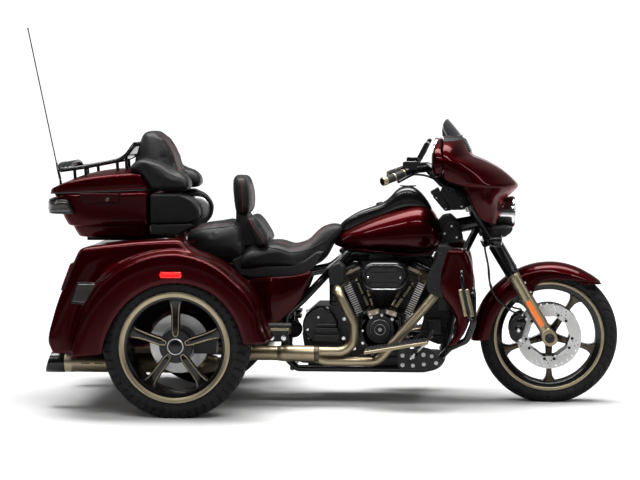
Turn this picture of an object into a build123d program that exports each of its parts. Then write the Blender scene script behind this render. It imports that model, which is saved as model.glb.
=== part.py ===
from build123d import *
from math import sin, cos, tan, radians, atan2, hypot, degrees
import os

os.makedirs("parts", exist_ok=True)

# Touring trike. Millimetres; X forward from the rear axle, Y left, Z up from the ground.
# At the end every piece is moved by X_REF so that the origin is under the middle of the bounding box.
X_REF = 580.0

# wheels
WHEELBASE = 1670.0
FRONT_R, FRONT_BEAD, FRONT_HALF = 319.3, 241.3, 65.0
REAR_R, REAR_BEAD, REAR_HALF = 325.0, 228.6, 107.5
REAR_TRACK_HALF = 555.0
SPOKES = 5
# steering
RAKE = 26.0
TRAIL = 100.0
FORK_ANGLE = 30.5
LEG_Y, LEG_R, SLIDER_R = 120.0, 26.0, 30.0
STEM_R, HEAD_BORE_R, HEAD_R = 20.0, 20.3, 38.0
# body
FENDER_HALF = 695.0
SIDE_HALF = 600.0
WELL_IN, WELL_OUT, WELL_R, ARCH_R = 435.0, 680.0, 350.0, 302.0
TRUNK_HALF = 430.0
WALL = 12.0
BOX_HALF = 285.0
BOX_WALL = 8.0
# frame tubes
RAIL_Y, RAIL_Z, TUBE_R = 150.0, 172.0, 16.0

nodes = {}


def poly_face(points):
    return Face(Wire.make_polygon([Vector(*p) for p in points], close=True))


def prism_xz(points, y0, y1):
    """Side-view outline (x, z), extruded across from y0 to y1."""
    return Solid.extrude(poly_face([(x, y0, z) for x, z in points]), Vector(0, y1 - y0, 0))


def prism_xy(points, z0, z1):
    """Plan-view outline (x, y), extruded up from z0 to z1."""
    return Solid.extrude(poly_face([(x, y, z0) for x, y in points]), Vector(0, 0, z1 - z0))


def prism_yz(points, x0, x1):
    """Front-view outline (y, z), extruded along X."""
    return Solid.extrude(poly_face([(x0, y, z) for y, z in points]), Vector(x1 - x0, 0, 0))


def block(x0, x1, y0, y1, z0, z1):
    return prism_xy([(x0, y0), (x1, y0), (x1, y1), (x0, y1)], z0, z1)


def rod(p, q, r):
    d = Vector(*q) - Vector(*p)
    return Solid.make_cylinder(r, d.length, Plane(origin=p, z_dir=d))


def tube(points, r, bend):
    path = FilletPolyline(*points, radius=bend)
    return sweep(Plane(origin=path @ 0, z_dir=path % 0) * Circle(r), path=path)


def both(shape):
    """The piece and its mirror image across the centre plane."""
    return [shape, mirror(shape, about=Plane.XZ)]


def two_sided(outline):
    """A half outline of (x, half width) made whole."""
    return list(outline) + [(x, -h) for x, h in reversed(outline)]


def mirrored(outline):
    """A half outline of (half width, z), from the top down, made whole."""
    return list(outline) + [(-h, z) for h, z in reversed(outline)]


def ring(profile, x, z, arc=360.0):
    """Closed (y, r) profile turned about the axle line through (x, z)."""
    face = poly_face([(x, y, z + r) for y, r in profile])
    return Solid.revolve(face, arc, Axis((x, 0, z), (0, 1, 0)))


def fuse(first, *rest):
    out = first
    for s in rest:
        out = out + s
    return out


def put(name, shape):
    nodes[name] = shape


# ------------------------------------------------------------------ wheels
def tyre_profile(half, bead, bead_half, out_r, crown_half, crown_r):
    """(y, r) section: bead, bulge, shoulder, crown, from one side to the other."""
    right = [
        (bead_half, bead + 0.3),
        (bead_half + 0.5, bead + 15.5),
        (half - 3, bead + 32),
        (half, bead + 44),
        (half - 4, out_r - 24),
        (crown_half + 12, crown_r - 2),
        (crown_half, crown_r),
        (crown_half * 0.5, out_r - (out_r - crown_r) * 0.25),
    ]
    return right + [(0, out_r)] + [(-y, r) for y, r in reversed(right)]


def shifted(profile, dy):
    return [(y + dy, r) for y, r in profile]


def spoke_prism(x, z, angle, table, y0, y1):
    """One spoke from a table of (radius, half width)."""
    a = radians(angle)
    left = [(r * cos(a) - w * sin(a), r * sin(a) + w * cos(a)) for r, w in table]
    right = [(r * cos(a) + w * sin(a), r * sin(a) - w * cos(a)) for r, w in reversed(table)]
    return prism_xz([(x + px, z + pz) for px, pz in left + right], y0, y1)


def at_angle(x, z, r, angle):
    return x + r * cos(radians(angle)), z + r * sin(radians(angle))


FX, FZ = WHEELBASE, FRONT_R
put("front_tyre", ring(tyre_profile(FRONT_HALF, FRONT_BEAD, 43.0, FRONT_R, 34.0, FRONT_R - 6), FX, FZ))
front_rim = ring(
    [(-52, 255), (-45, 255), (-44, 241.3), (44, 241.3), (45, 255), (52, 255), (52, 246), (46, 232), (40, 226), (-40, 226), (-46, 232), (-52, 246)],
    FX, FZ)
FRONT_SPOKE = [(28, 17), (120, 11), (190, 13), (214, 24), (230, 36)]
FRONT_ANGLES = [55 + 72 * i for i in range(SPOKES)]
PAD_R = 98.0
front_wheel = fuse(front_rim, rod((FX, -60, FZ), (FX, 60, FZ), 38))
for angle in FRONT_ANGLES:
    front_wheel = front_wheel + spoke_prism(FX, FZ, angle, FRONT_SPOKE, -20, 20)
    px, pz = at_angle(FX, FZ, PAD_R, angle)
    front_wheel = front_wheel + rod((px, -62, pz), (px, 62, pz), 11)
AXLE_R = 12.5
front_wheel = front_wheel - rod((FX, -80, FZ), (FX, 80, FZ), AXLE_R + 0.3)
put("front_wheel", front_wheel)
disc_ring = ring([(62, 84), (67, 84), (67, 150), (62, 150)], FX, FZ)
put("front_brake_discs", Compound(children=both(disc_ring)))

REAR_SPOKE = [(50, 26), (110, 20), (180, 20), (205, 30), (220, 40)]
REAR_ANGLES = [90 + 72 * i for i in range(SPOKES)]
STUB_R = 20.0
for side, s in (("right", -1), ("left", 1)):
    yc = s * REAR_TRACK_HALF
    put(f"rear_{side}_tyre", ring(shifted(tyre_profile(REAR_HALF, REAR_BEAD, 97.0, REAR_R, 72.0, REAR_R - 2.5), yc), 0, REAR_R))
    rim = ring(shifted(
        [(-106, 246), (-99, 246), (-98, 228.6), (98, 228.6), (99, 246), (106, 246), (106, 236), (100, 222), (94, 216), (-94, 216), (-100, 222), (-106, 236)], yc),
        0, REAR_R)
    # outboard face plane: hub face and spokes
    y_face = s * 616.0
    wheel = rim + rod((0, s * 456, REAR_R), (0, y_face, REAR_R), 60) + rod((0, s * 596, REAR_R), (0, y_face, REAR_R), 75)
    for angle in REAR_ANGLES:
        wheel = wheel + spoke_prism(0, REAR_R, angle, REAR_SPOKE, min(s * 588, s * 624), max(s * 588, s * 624))
    wheel = wheel - rod((0, s * 440, REAR_R), (0, s * 590.3, REAR_R), STUB_R + 0.3)
    put(f"rear_{side}_wheel", wheel)
    put(f"rear_{side}_disc", ring([(s * 490, 60), (s * 498, 60), (s * 498, 133), (s * 490, 133)], 0, REAR_R))


# ------------------------------------------------------------------ steering
def steer_x(z):
    """X of the steering axis at height z."""
    return WHEELBASE + TRAIL - z * tan(radians(RAKE))


def leg_x(z):
    return WHEELBASE - (z - FRONT_R) * tan(radians(FORK_ANGLE))


LEG_TOP_Z, SLIDER_TOP_Z = 935.0, 610.0
legs = []
for s in (-1, 1):
    y = s * LEG_Y
    axle_end = (FX, y, FZ)
    leg = fuse(
        rod(axle_end, (leg_x(LEG_TOP_Z), y, LEG_TOP_Z), LEG_R),
        rod(axle_end, (leg_x(SLIDER_TOP_Z), y, SLIDER_TOP_Z), SLIDER_R),
        rod((FX, y - 30, FZ), (FX, y + 30, FZ), 32),
    )
    legs.append(leg)
fork = legs[0] + legs[1] + rod((FX, -LEG_Y, FZ), (FX, LEG_Y, FZ), AXLE_R)
put("fork_legs", fork)
leg_bores = [rod((FX, s * LEG_Y, FZ), (leg_x(1000), s * LEG_Y, 1000), LEG_R) for s in (-1, 1)]

HEAD_LOW_Z, HEAD_HIGH_Z = 795.0, 905.0
axis_dir = Vector(-sin(radians(RAKE)), 0, cos(radians(RAKE)))


# clamp plate seen along the steering axis: (forward, sideways)
YOKE_HALF = [(46, 0), (46, 128), (36, 148), (14, 153), (-12, 153), (-30, 144), (-34, 122), (-32, 85), (-40, 65), (-46, 40), (-46, 0)]
YOKE_OUTLINE = YOKE_HALF + [(f, -w) for f, w in reversed(YOKE_HALF[1:-1])]


def yoke(z, thick):
    """A clamp plate square to the steering axis, from fork leg to fork leg."""
    x = steer_x(z)
    plane = Plane(origin=(x, 0, z), x_dir=(cos(radians(RAKE)), 0, sin(radians(RAKE))), z_dir=axis_dir)
    outline = poly_face(YOKE_OUTLINE)
    return extrude(plane * outline, amount=thick)


lower_yoke = yoke(HEAD_LOW_Z - 42, 30)
upper_yoke = yoke(HEAD_HIGH_Z + 8, 26)
stem = rod((steer_x(HEAD_LOW_Z - 30), 0, HEAD_LOW_Z - 30), (steer_x(HEAD_HIGH_Z + 20), 0, HEAD_HIGH_Z + 20), STEM_R)
yokes = lower_yoke + upper_yoke + stem
for bore in leg_bores:
    yokes = yokes - bore

# handlebar: half path (x, y, z), from the middle out
BAR_R, GRIP_R = 15.9, 19.5
BAR_HALF = [(1289, 62, 985), (1172, 150, 1030), (1105, 235, 1103), (1030, 318, 1096), (913, 430, 1052)]
bar_points = [(x, -y, z) for x, y, z in reversed(BAR_HALF)] + BAR_HALF
bar = tube(bar_points, BAR_R, [70, 45, 45, 40, 40, 45, 45, 70])
riser = []
for s in (-1, 1):
    riser.append(rod((steer_x(930), s * 40, 925), (1289, s * 40, 985), 17))
yokes = fuse(yokes, *riser) - bar
put("fork_yokes", yokes)
grips = []
controls = []
for s in (-1, 1):
    end = Vector(913, s * 430, 1052)
    start = Vector(1030, s * 318, 1096)
    d = (end - start).normalized()
    g0 = start + d * 42
    grips.append(rod(tuple(g0), tuple(end + d * 6), GRIP_R) - rod(tuple(start), tuple(end), BAR_R))
    # switch housing and reservoir on the bar, with the lever ahead of the grip
    h0, h1 = start + d * -6, start + d * 40
    housing = rod(tuple(h0), tuple(h1), 27)
    mid = (h0 + h1) * 0.5
    tank_box = block(mid.X - 22, mid.X + 42, mid.Y - 24, mid.Y + 24, mid.Z + 10, mid.Z + 42)
    lever0 = mid + Vector(34, 0, -4)
    lever1 = end + Vector(66, 0, -2)
    lever = rod(tuple(lever0), tuple(lever1), 7)
    control = housing + tank_box + lever + rod(tuple(mid), tuple(lever0 + Vector(6, 0, 0)), 12)
    controls.append(control - bar - grips[-1])
put("handlebar", bar)
put("hand_grips", Compound(children=grips))
put("hand_controls", Compound(children=controls))

# mirrors: head outline (x, z), with its stem down to the reservoir
MIRROR = [(1066, 1152), (1084, 1148), (1116, 1222), (1098, 1228)]
mirrors = []
for s in (-1, 1):
    head = prism_xz(MIRROR, s * 330, s * 465)
    stemm = rod((1074, s * 352, 1138.6), (1084, s * 362, 1165), 7)
    mirrors.append(head + stemm)
put("mirrors", Compound(children=mirrors))

# batwing fairing: side outline (x, z), half plan (x, half width) and half front view (half width, z)
FAIR_SIDE = [(1180, 1246), (1180, 1058), (1263, 1028), (1280, 990), (1307, 930), (1343, 876), (1447, 847), (1492, 842), (1497, 963), (1526, 1019), (1490, 1061), (1446, 1097), (1379, 1135), (1314, 1161), (1272, 1235), (1262, 1246)]
FAIR_PLAN = [(1140, 412), (1215, 410), (1330, 372), (1420, 280), (1480, 165), (1520, 70), (1528, 0)]
FAIR_FRONT = [(0, 1250), (250, 1248), (385, 1205), (412, 1130), (400, 1060), (300, 1005), (205, 925), (165, 850), (120, 838)]
fair_out = prism_xz(FAIR_SIDE, -420, 420)
fair_out = fair_out & prism_xy(two_sided(FAIR_PLAN[:-1]), 800, 1300)
fair_out = fair_out & prism_yz(mirrored(FAIR_FRONT), 1100, 1600)
SKIN = 7.0
FAIR_SIDE_IN = [(1150, 1237), (1150, 1050), (1257, 1020), (1270, 985), (1297, 925), (1336, 868), (1350, 800), (1440, 800), (1483, 855), (1487, 965), (1513, 1019), (1483, 1054), (1441, 1089), (1375, 1126), (1307, 1153), (1264, 1230), (1258, 1237)]
fair_in = prism_xz(FAIR_SIDE_IN, -420, 420)
fair_in = fair_in & prism_xy(two_sided([(x - SKIN * 1.2, h - SKIN) for x, h in FAIR_PLAN[:-1]]), 780, 1300)
fair_in = fair_in & prism_yz(mirrored([(max(h - SKIN, 0), z - SKIN if z > 1000 else z) for h, z in FAIR_FRONT[:-1]] + [(158, 780)]), 1100, 1600)
LAMP_Z, LAMP_R = 902.0, 66.0
fairing = fair_out - fair_in - rod((1400, 0, LAMP_Z), (1560, 0, LAMP_Z), LAMP_R + 6) - block(1300, 1470, -170, 170, 800, 850)
fairing = fairing - block(1170, 1330, -205, 205, 1000, 1045)
put("fairing", fairing)
# inner fairing (instrument panel), behind the outer shell
INNER_SIDE = [(1160, 1244), (1130, 1195), (1126, 1165), (1140, 1108), (1166, 1072), (1179.5, 1066), (1179.5, 1244)]
inner = prism_xz(INNER_SIDE, -402, 402)
inner = inner & prism_yz(mirrored([(0, 1240), (240, 1238), (375, 1196), (402, 1130), (390, 1072), (250, 1066)]), 1100, 1200)
put("inner_fairing", inner)

# wind deflector: a bent strip in plan, leaning back
outer_edge = [(1176, 262), (1222, 180), (1252, 90), (1262, 0), (1252, -90), (1222, -180), (1176, -262)]
inner_edge = [(x - 5, y * 0.985) for x, y in outer_edge]
band = poly_face([(x, y, 1250.5) for x, y in outer_edge] + [(x, y, 1250.5) for x, y in reversed(inner_edge)])
deflector = Solid.extrude(band, Vector(-68, 0, 76))
deflector = deflector & prism_yz(mirrored([(0, 1326.5), (120, 1318), (205, 1292), (262, 1251)]), 1000, 1400)
put("windshield", deflector)

lamp = rod((1415, 0, LAMP_Z), (1498, 0, LAMP_Z), LAMP_R) + rod((1498, 0, LAMP_Z), (1510, 0, LAMP_Z), LAMP_R - 8) + rod((1510, 0, LAMP_Z), (1516, 0, LAMP_Z), LAMP_R - 26)
put("headlamp", lamp)
signals = []
for s in (-1, 1):
    signals.append(rod((1385, s * 205, 778), (1448, s * 205, 772), 30) + rod((1416, s * 155, 778), (1416, s * 200, 776), 8))
signals = [sg - leg_bores[0] - leg_bores[1] for sg in signals]
put("turn_signals", Compound(children=signals))
shroud = prism_xz([(1440, 808), (1486, 808), (1498, 834), (1440, 834)], -88, 88)
put("fork_shroud", shroud)

# front fender: section (y, r) turned through the arc from its nose to its tail
FENDER_FROM, FENDER_ARC = 48.0, 135.0
FENDER_SECTION = [(-86, 258), (-86, 316), (-62, 338), (0, 347), (62, 338), (86, 316), (86, 258), (80, 258), (80, 313), (58, 333), (0, 341), (-58, 333), (-80, 313), (-80, 258)]
fender = ring(FENDER_SECTION, FX, FZ, FENDER_ARC).rotate(Axis((FX, 0, FZ), (0, 1, 0)), 90 - FENDER_FROM - FENDER_ARC)
for s in (-1, 1):
    lug_x, lug_z = leg_x(560), 560
    fender = fender + block(lug_x - 20, lug_x + 20, min(s * 84, s * 96), max(s * 84, s * 96), lug_z - 26, lug_z + 26)
fender = fender - fork
put("front_fender", fender)

# front calipers: behind the legs, straddling the discs
CAL_ANGLE = 164.0
cals = []
for s in (-1, 1):
    a = radians(CAL_ANGLE)

    def local(rho0, rho1, t0, t1, y0, y1):
        pts = [(rho0, t0), (rho1, t0), (rho1, t1), (rho0, t1)]
        return prism_xz([(FX + r * cos(a) - t * sin(a), FZ + r * sin(a) + t * cos(a)) for r, t in pts], s * y0, s * y1)

    body = local(116, 184, -58, 58, 46, 104) - local(100, 158, -70, 70, 56.5, 72.5)
    lug = local(116, 150, -92, -50, 76, 100)
    cals.append(body + lug - fork)
put("front_calipers", Compound(children=cals))

# ------------------------------------------------------------------ frame
def sided(points, s):
    return [(x, s * y, z) for x, y, z in points]


CRADLE = [(1330, 22, 812), (1268, 70, 690), (1205, 128, 330), (1165, RAIL_Y, 190), (1090, RAIL_Y, RAIL_Z), (500, RAIL_Y, RAIL_Z), (440, RAIL_Y, 235), (455, RAIL_Y, 420), (534, 145, 492), (729, 92, 700), (800, 30, 752)]
SEAT_RAIL = [(735, 80, 705), (640, RAIL_Y, 628), (560, RAIL_Y, 612), (70, RAIL_Y, 612)]
head = rod((steer_x(HEAD_LOW_Z), 0, HEAD_LOW_Z), (steer_x(HEAD_HIGH_Z), 0, HEAD_HIGH_Z), HEAD_R)
frame = head + rod((steer_x(850), 0, 850), (770, 0, 742), 34)
for s in (-1, 1):
    frame = frame + tube(sided(CRADLE, s), TUBE_R, [60, 60, 60, 60, 40, 50, 60, 60, 40])
    frame = frame + tube(sided(SEAT_RAIL, s), 13, [50, 50])
for x, z, y in ((480, RAIL_Z, RAIL_Y), (1100, RAIL_Z, RAIL_Y), (300, 612, RAIL_Y), (80, 612, RAIL_Y)):
    frame = frame + rod((x, -y, z), (x, y, z), 12)
frame = frame - rod((steer_x(700), 0, 700), (steer_x(1000), 0, 1000), HEAD_BORE_R)
put("frame", frame)

# ------------------------------------------------------------------ engine
CRANK_X, CRANK_Z, VEE, VEE_X = 890.0, 335.0, 24.0, 903.0
case = prism_xz([(772, 215), (1000, 215), (1025, 250), (1025, 380), (985, 428), (795, 428), (755, 380), (755, 240)], -122, 122)
case = case + rod((CRANK_X, -122, CRANK_Z), (CRANK_X, -160, CRANK_Z), 92) + rod((CRANK_X, -160, 353), (CRANK_X, -180, 353), 45)
case = case + prism_xz([(800, 400), (980, 400), (955, 446), (825, 446)], -160, -60)
put("crankcase", case)
cyls = []
for s in (-1, 1):
    d = Vector(s * sin(radians(VEE)), 0, cos(radians(VEE)))
    plane = Plane(origin=(VEE_X, 0, CRANK_Z), x_dir=(0, 1, 0), z_dir=d)

    def slab(r0, r1, half_y, inner, outer):
        """A layer of the cylinder between two heights, from inner to outer across the vee."""
        cross = plane.offset(r0) * Pos(0, -s * (outer + inner) / 2, 0) * Rectangle(2 * half_y, outer - inner)
        return extrude(cross, amount=r1 - r0)

    cyl = slab(90, 268, 74, -68, 72) + slab(268, 312, 74, -68, 84) + slab(312, 368, 66, -32, 100)
    keep = block(VEE_X + (2 if s > 0 else -400), VEE_X + (400 if s > 0 else -2), -200, 200, 300, 800)
    cyls.append((cyl & keep) - case)
put("cylinders", Compound(children=cyls))
AIR_X, AIR_Z = 910.0, 605.0


def oval(x, z, length, height, y0, y1):
    h = height / 2
    e = length / 2 - h
    return block(x - e, x + e, min(y0, y1), max(y0, y1), z - h, z + h) + rod((x - e, y0, z), (x - e, y1, z), h) + rod((x + e, y0, z), (x + e, y1, z), h)


put("air_cleaner", oval(AIR_X, AIR_Z, 234, 148, -150, -252) + oval(AIR_X - 10, AIR_Z, 150, 90, -74, -150))
gearbox = prism_xz([(545, 205), (752, 205), (752, 430), (700, 462), (590, 462), (540, 420), (525, 330)], -122, 122)
gearbox = gearbox + rod((610, -122, 372), (610, -158, 372), 74) + prism_xz([(570, 240), (720, 240), (700, 345), (590, 345)], -160, -122)
put("gearbox", gearbox)
primary = oval(770, 335, 500, 190, 122, 228)
put("primary_cover", primary)

# exhaust: both header pipes join in one collector on the right, with a crossover to the left
PIPE_R, COLLECT_R = 22.0, 33.0
rear_header = tube([(712, -74, 575), (690, -160, 562), (700, -232, 530), (772, -240, 395), (772, -240, 262), (560, -240, 262)], PIPE_R, [40, 45, 60, 75])
front_header = tube([(1080, -70, 592), (1142, -150, 586), (1152, -212, 532), (947, -214, 293), (880, -214, 214), (640, -216, 214), (560, -236, 246)], PIPE_R, [40, 40, 80, 70, 60])
collector = rod((600, -240, 252), (285, -240, 252), COLLECT_R)
MUFF_Y, MUFF_Z, MUFF_R = 330.0, 214.5, 45.0
cross = rod((345, -240, 240), (345, 240, 240), 20)
exhaust = rear_header + front_header + collector + cross
for s in (-1, 1):
    tail = [(345 if s > 0 else 300, s * 240, 240 if s > 0 else 252), (270, s * 262, 238), (215, s * 318, 218), (150, s * 330, MUFF_Z)]
    exhaust = exhaust + tube(tail, 26 if s < 0 else 20, [40, 40])
exhaust = exhaust - block(100, 150, -400, 400, 100, 300)
for c in cyls:
    exhaust = exhaust - c
put("exhaust_pipes", exhaust)
MUFF_FROM, MUFF_TO = 150.0, -640.0
put("mufflers", Compound(children=both(rod((MUFF_FROM, MUFF_Y, MUFF_Z), (MUFF_TO, MUFF_Y, MUFF_Z), MUFF_R) - rod((MUFF_TO - 1, MUFF_Y, MUFF_Z), (MUFF_TO + 70, MUFF_Y, MUFF_Z), MUFF_R - 4))))

# ------------------------------------------------------------------ tank, seats
TANK_SIDE = [(657, 762), (743, 815), (831, 860), (920, 891), (986, 914), (1061, 931), (1118, 914), (1154, 861), (1168, 799), (1160, 752), (1098, 705), (1009, 698), (868, 711), (717, 725)]
TANK_PLAN = [(650, 40), (700, 88), (790, 130), (900, 158), (1030, 168), (1110, 158), (1155, 120), (1172, 70)]
tank = prism_xz(TANK_SIDE, -170, 170) & prism_xy(two_sided(TANK_PLAN), 600, 1000)
tank = tank - prism_xz([(600, 690), (600, 778), (1200, 893), (1200, 690)], -48, 48)
tank = tank - frame
put("fuel_tank", tank)
CONSOLE_SIDE = [(690, 800), (698, 836), (781, 893), (870, 926), (924, 956), (962, 1003), (1038, 1016), (1094, 966), (1126, 914), (1118, 880)]
console = prism_xz(CONSOLE_SIDE, -78, 78) & prism_xy(two_sided([(690, 30), (780, 42), (900, 60), (1000, 78), (1080, 76), (1126, 50)]), 700, 1100)
console = console - prism_xz(TANK_SIDE[:8] + [(1154, 700), (657, 700)], -170, 170)
put("tank_console", console)
SEAT_SIDE = [(700, 828), (642, 838), (584, 780), (548, 758), (481, 733), (423, 750), (372, 758), (282, 868), (238, 868), (264, 780), (226, 690), (244, 642), (323, 634), (560, 634), (618, 668), (655, 752), (690, 800)]
SEAT_PLAN = [(720, 62), (660, 88), (590, 150), (480, 200), (350, 206), (230, 200)]
seat = prism_xz(SEAT_SIDE, -210, 210) & prism_xy(two_sided(SEAT_PLAN), 500, 1000)
seat = seat - prism_xz(TANK_SIDE, -172, 172) - frame - console
put("rider_seat", seat)
PSEAT_SIDE = [(-6, 802), (69, 836), (212, 852), (230, 848), (257, 780), (218, 690), (226, 660), (60, 660), (50, 790)]
backrest_stem = block(206, 222, -32, 32, 700, 886)
pseat = prism_xz(PSEAT_SIDE, -172, 172) - block(205.5, 222.5, -32.5, 32.5, 690, 900) - frame
put("passenger_seat", pseat)
RBACK = [(194, 1048), (206, 1062), (244, 1062), (258, 1050), (279, 940), (279, 898), (264, 886), (212, 886), (203, 905)]
put("rider_backrest", prism_xz(RBACK, -142, 142) + backrest_stem)
COVER_SIDE = [(157, 668), (210, 655), (250, 633), (294, 604), (392, 603), (511, 608), (560, 624), (528, 505), (474, 435), (400, 375), (300, 362), (157, 362)]
COVER_PLAN = [(572, 176), (430, 214), (335, 300), (310, 432), (292, 432), (318, 292), (420, 198), (566, 168)]
cover = prism_xz(COVER_SIDE, 150, 440) & prism_xy(COVER_PLAN, 300, 700)
cover = cover - frame
put("side_covers", Compound(children=both(cover)))

# ------------------------------------------------------------------ rear body
BODY_SIDE = [(-553, 279), (-580, 335), (-577, 376), (-538, 512), (-476, 663), (-436, 748), (-422, 760), (-181, 787), (7, 798), (53, 754), (190, 690), (259, 631), (311, 567), (360, 504), (380, 418), (406, 345), (306, 345), (-331, 265), (-476, 270)]
FLARE = [(-455, 284), (-435, 375), (-404, 462), (-340, 580), (-252, 661), (-153, 714), (-59, 739), (9, 744), (83, 731), (175, 694), (274, 612), (311, 567), (360, 504), (378, 418), (406, 345), (306, 345), (-331, 272)]
fend = prism_xz(BODY_SIDE, WELL_IN, SIDE_HALF) + prism_xz(FLARE, SIDE_HALF - 20, FENDER_HALF)
fend = fend - rod((0, WELL_IN - 5, REAR_R), (0, WELL_OUT, REAR_R), WELL_R) - block(-WELL_R, WELL_R, WELL_IN - 5, WELL_OUT, 200, REAR_R)
fend = fend - rod((-4, WELL_OUT - 5, 320), (-4, FENDER_HALF + 5, 320), ARCH_R) - block(-4 - ARCH_R, -4 + ARCH_R, WELL_OUT - 5, FENDER_HALF + 5, 200, 320)
put("rear_fenders", Compound(children=both(fend)))

# trunk between the wheels; rear face runs from the hinge line down to the bumper
HINGE_X, HINGE_Z = -436.0, 748.0
LOW_X, LOW_Z = -577.0, 376.0
face_len = hypot(LOW_X - HINGE_X, LOW_Z - HINGE_Z)
dx, dz = (LOW_X - HINGE_X) / face_len, (LOW_Z - HINGE_Z) / face_len
nx, nz = dz, -dx


def on_face(s_, n_):
    """A point s_ down the rear face and n_ out from it."""
    return HINGE_X + dx * s_ + nx * n_, HINGE_Z + dz * s_ + nz * n_


TRUNK_OUT = [(-553, 287), (-580, 335), (LOW_X, LOW_Z), (HINGE_X, HINGE_Z), (-150, 766), (42, 770), (42, 452), (-118, 452), (-152, 300)]
TRUNK_IN = [(-535, 312), on_face(386, -24), on_face(12, -24), (-150, 752), (30, 756), (30, 466), (-128, 466), (-162, 312)]
trunk = prism_xz(TRUNK_OUT, -TRUNK_HALF, TRUNK_HALF) - prism_xz(TRUNK_IN, -TRUNK_HALF + WALL, TRUNK_HALF - WALL)
door_hole = prism_xz([on_face(8, 40), on_face(386, 40), on_face(386, -40), on_face(8, -40)], -396, 396)
trunk = trunk - door_hole
put("trunk_body", trunk)
lid = prism_xz([on_face(14, 0), on_face(380, 0), on_face(380, -20), on_face(14, -20)], -390, 390)
PLATE_X, PLATE_Z0, PLATE_Z1 = -562.0, 452.0, 572.0


def face_x(z):
    return HINGE_X + (z - HINGE_Z) * dx / dz


plate = prism_xz([(PLATE_X, PLATE_Z0), (PLATE_X, PLATE_Z1), (face_x(PLATE_Z1) + 3, PLATE_Z1), (face_x(PLATE_Z0) + 3, PLATE_Z0)], -105, 105)
HOLE_Y, HOLE_Z, HOLE_R = 73.0, 35.0, 3.5
lid = lid + plate
# hinge barrels on the lid's turning line
pin_x, pin_z = on_face(10, 4)
LEAF = [on_face(10, 1), on_face(16, -2), on_face(32, -2), on_face(32, 3), on_face(11, 7)]
for y in (-280, 240):
    lid = lid + rod((pin_x, y, pin_z), (pin_x, y + 40, pin_z), 4) + prism_xz(LEAF, y, y + 40)
for sy in (-1, 1):
    for sz in (-1, 1):
        lid = lid - rod((PLATE_X - 2, sy * HOLE_Y, 512 + sz * HOLE_Z), (PLATE_X + 14, sy * HOLE_Y, 512 + sz * HOLE_Z), HOLE_R)
put("trunk_lid", lid)
lamps = []
for s in (-1, 1):
    lamps.append(prism_xz([(-472, 515), (-440, 604), (-352, 604), (-398, 511)], s * SIDE_HALF, s * (SIDE_HALF + 14)))
    rear_face = [on_face(70, 0), on_face(190, 0), on_face(190, 16), on_face(70, 16)]
    lamps.append(prism_xz(rear_face, s * 455, s * 585))
lamps = [lp - fend - mirror(fend, about=Plane.XZ) for lp in lamps]
put("tail_lamps", Compound(children=lamps))

# ------------------------------------------------------------------ rear axle, suspension
axle = rod((0, -430, REAR_R), (0, 430, REAR_R), 42) + rod((0, -88, REAR_R), (0, 88, REAR_R), 96)
for s in (-1, 1):
    axle = axle + rod((0, s * 426, REAR_R), (0, s * 438, REAR_R), 78) + rod((0, s * 430, REAR_R), (0, s * 586, REAR_R), STUB_R)
put("rear_axle", axle)
cal = []
for s in (-1, 1):
    inner_half = block(64, 170, min(s * 438.5, s * 482), max(s * 438.5, s * 482), 284, 348)
    bridge = block(140, 170, min(s * 470, s * 530), max(s * 470, s * 530), 284, 348)
    outer_half = block(70, 170, min(s * 506, s * 530), max(s * 506, s * 530), 284, 348)
    lug = block(40, 90, min(s * 438.5, s * 450), max(s * 438.5, s * 450), 290, 340)
    cal.append(inner_half + bridge + outer_half + lug)
put("rear_calipers", Compound(children=cal))
arms = block(46, 422, 128, 182, 300, 352) + block(46, 422, -182, -128, 300, 352) + rod((330, -150, 326), (330, 150, 326), 20)
arms = arms + block(30, 60, 128, 182, 286, 366) + block(30, 60, -182, -128, 286, 366)
arms = arms - frame - axle
put("swingarm", arms)
shocks = []
for s in (-1, 1):
    shocks.append(rod((118, s * 155, 352), (118, s * 155, 597), 30))
put("shock_absorbers", Compound(children=[sh - frame for sh in shocks]))


def belt_loop(grow):
    """Outline round both drive pulleys, as a hull of two circles in the side plane."""
    r1, r2, x2 = 104 + grow, 40 + grow, 468
    t = degrees(atan2(r1 - r2, x2))
    a = radians(90 - t)
    return rod((0, 96, REAR_R), (0, 120, REAR_R), r1) + rod((x2, 96, REAR_R), (x2, 120, REAR_R), r2) + prism_xz(
        [(r1 * cos(a), REAR_R + r1 * sin(a)), (x2 + r2 * cos(a), REAR_R + r2 * sin(a)), (x2 + r2 * cos(a), REAR_R - r2 * sin(a)), (r1 * cos(a), REAR_R - r1 * sin(a))], 96, 120)


belt = belt_loop(0) - belt_loop(-9)
pulleys = (rod((0, 96, REAR_R), (0, 120, REAR_R), 96) - rod((0, 90, REAR_R), (0, 130, REAR_R), 42)) + (rod((468, 96, REAR_R), (468, 120, REAR_R), 32))
put("final_drive", belt + pulleys - arms)

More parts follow.
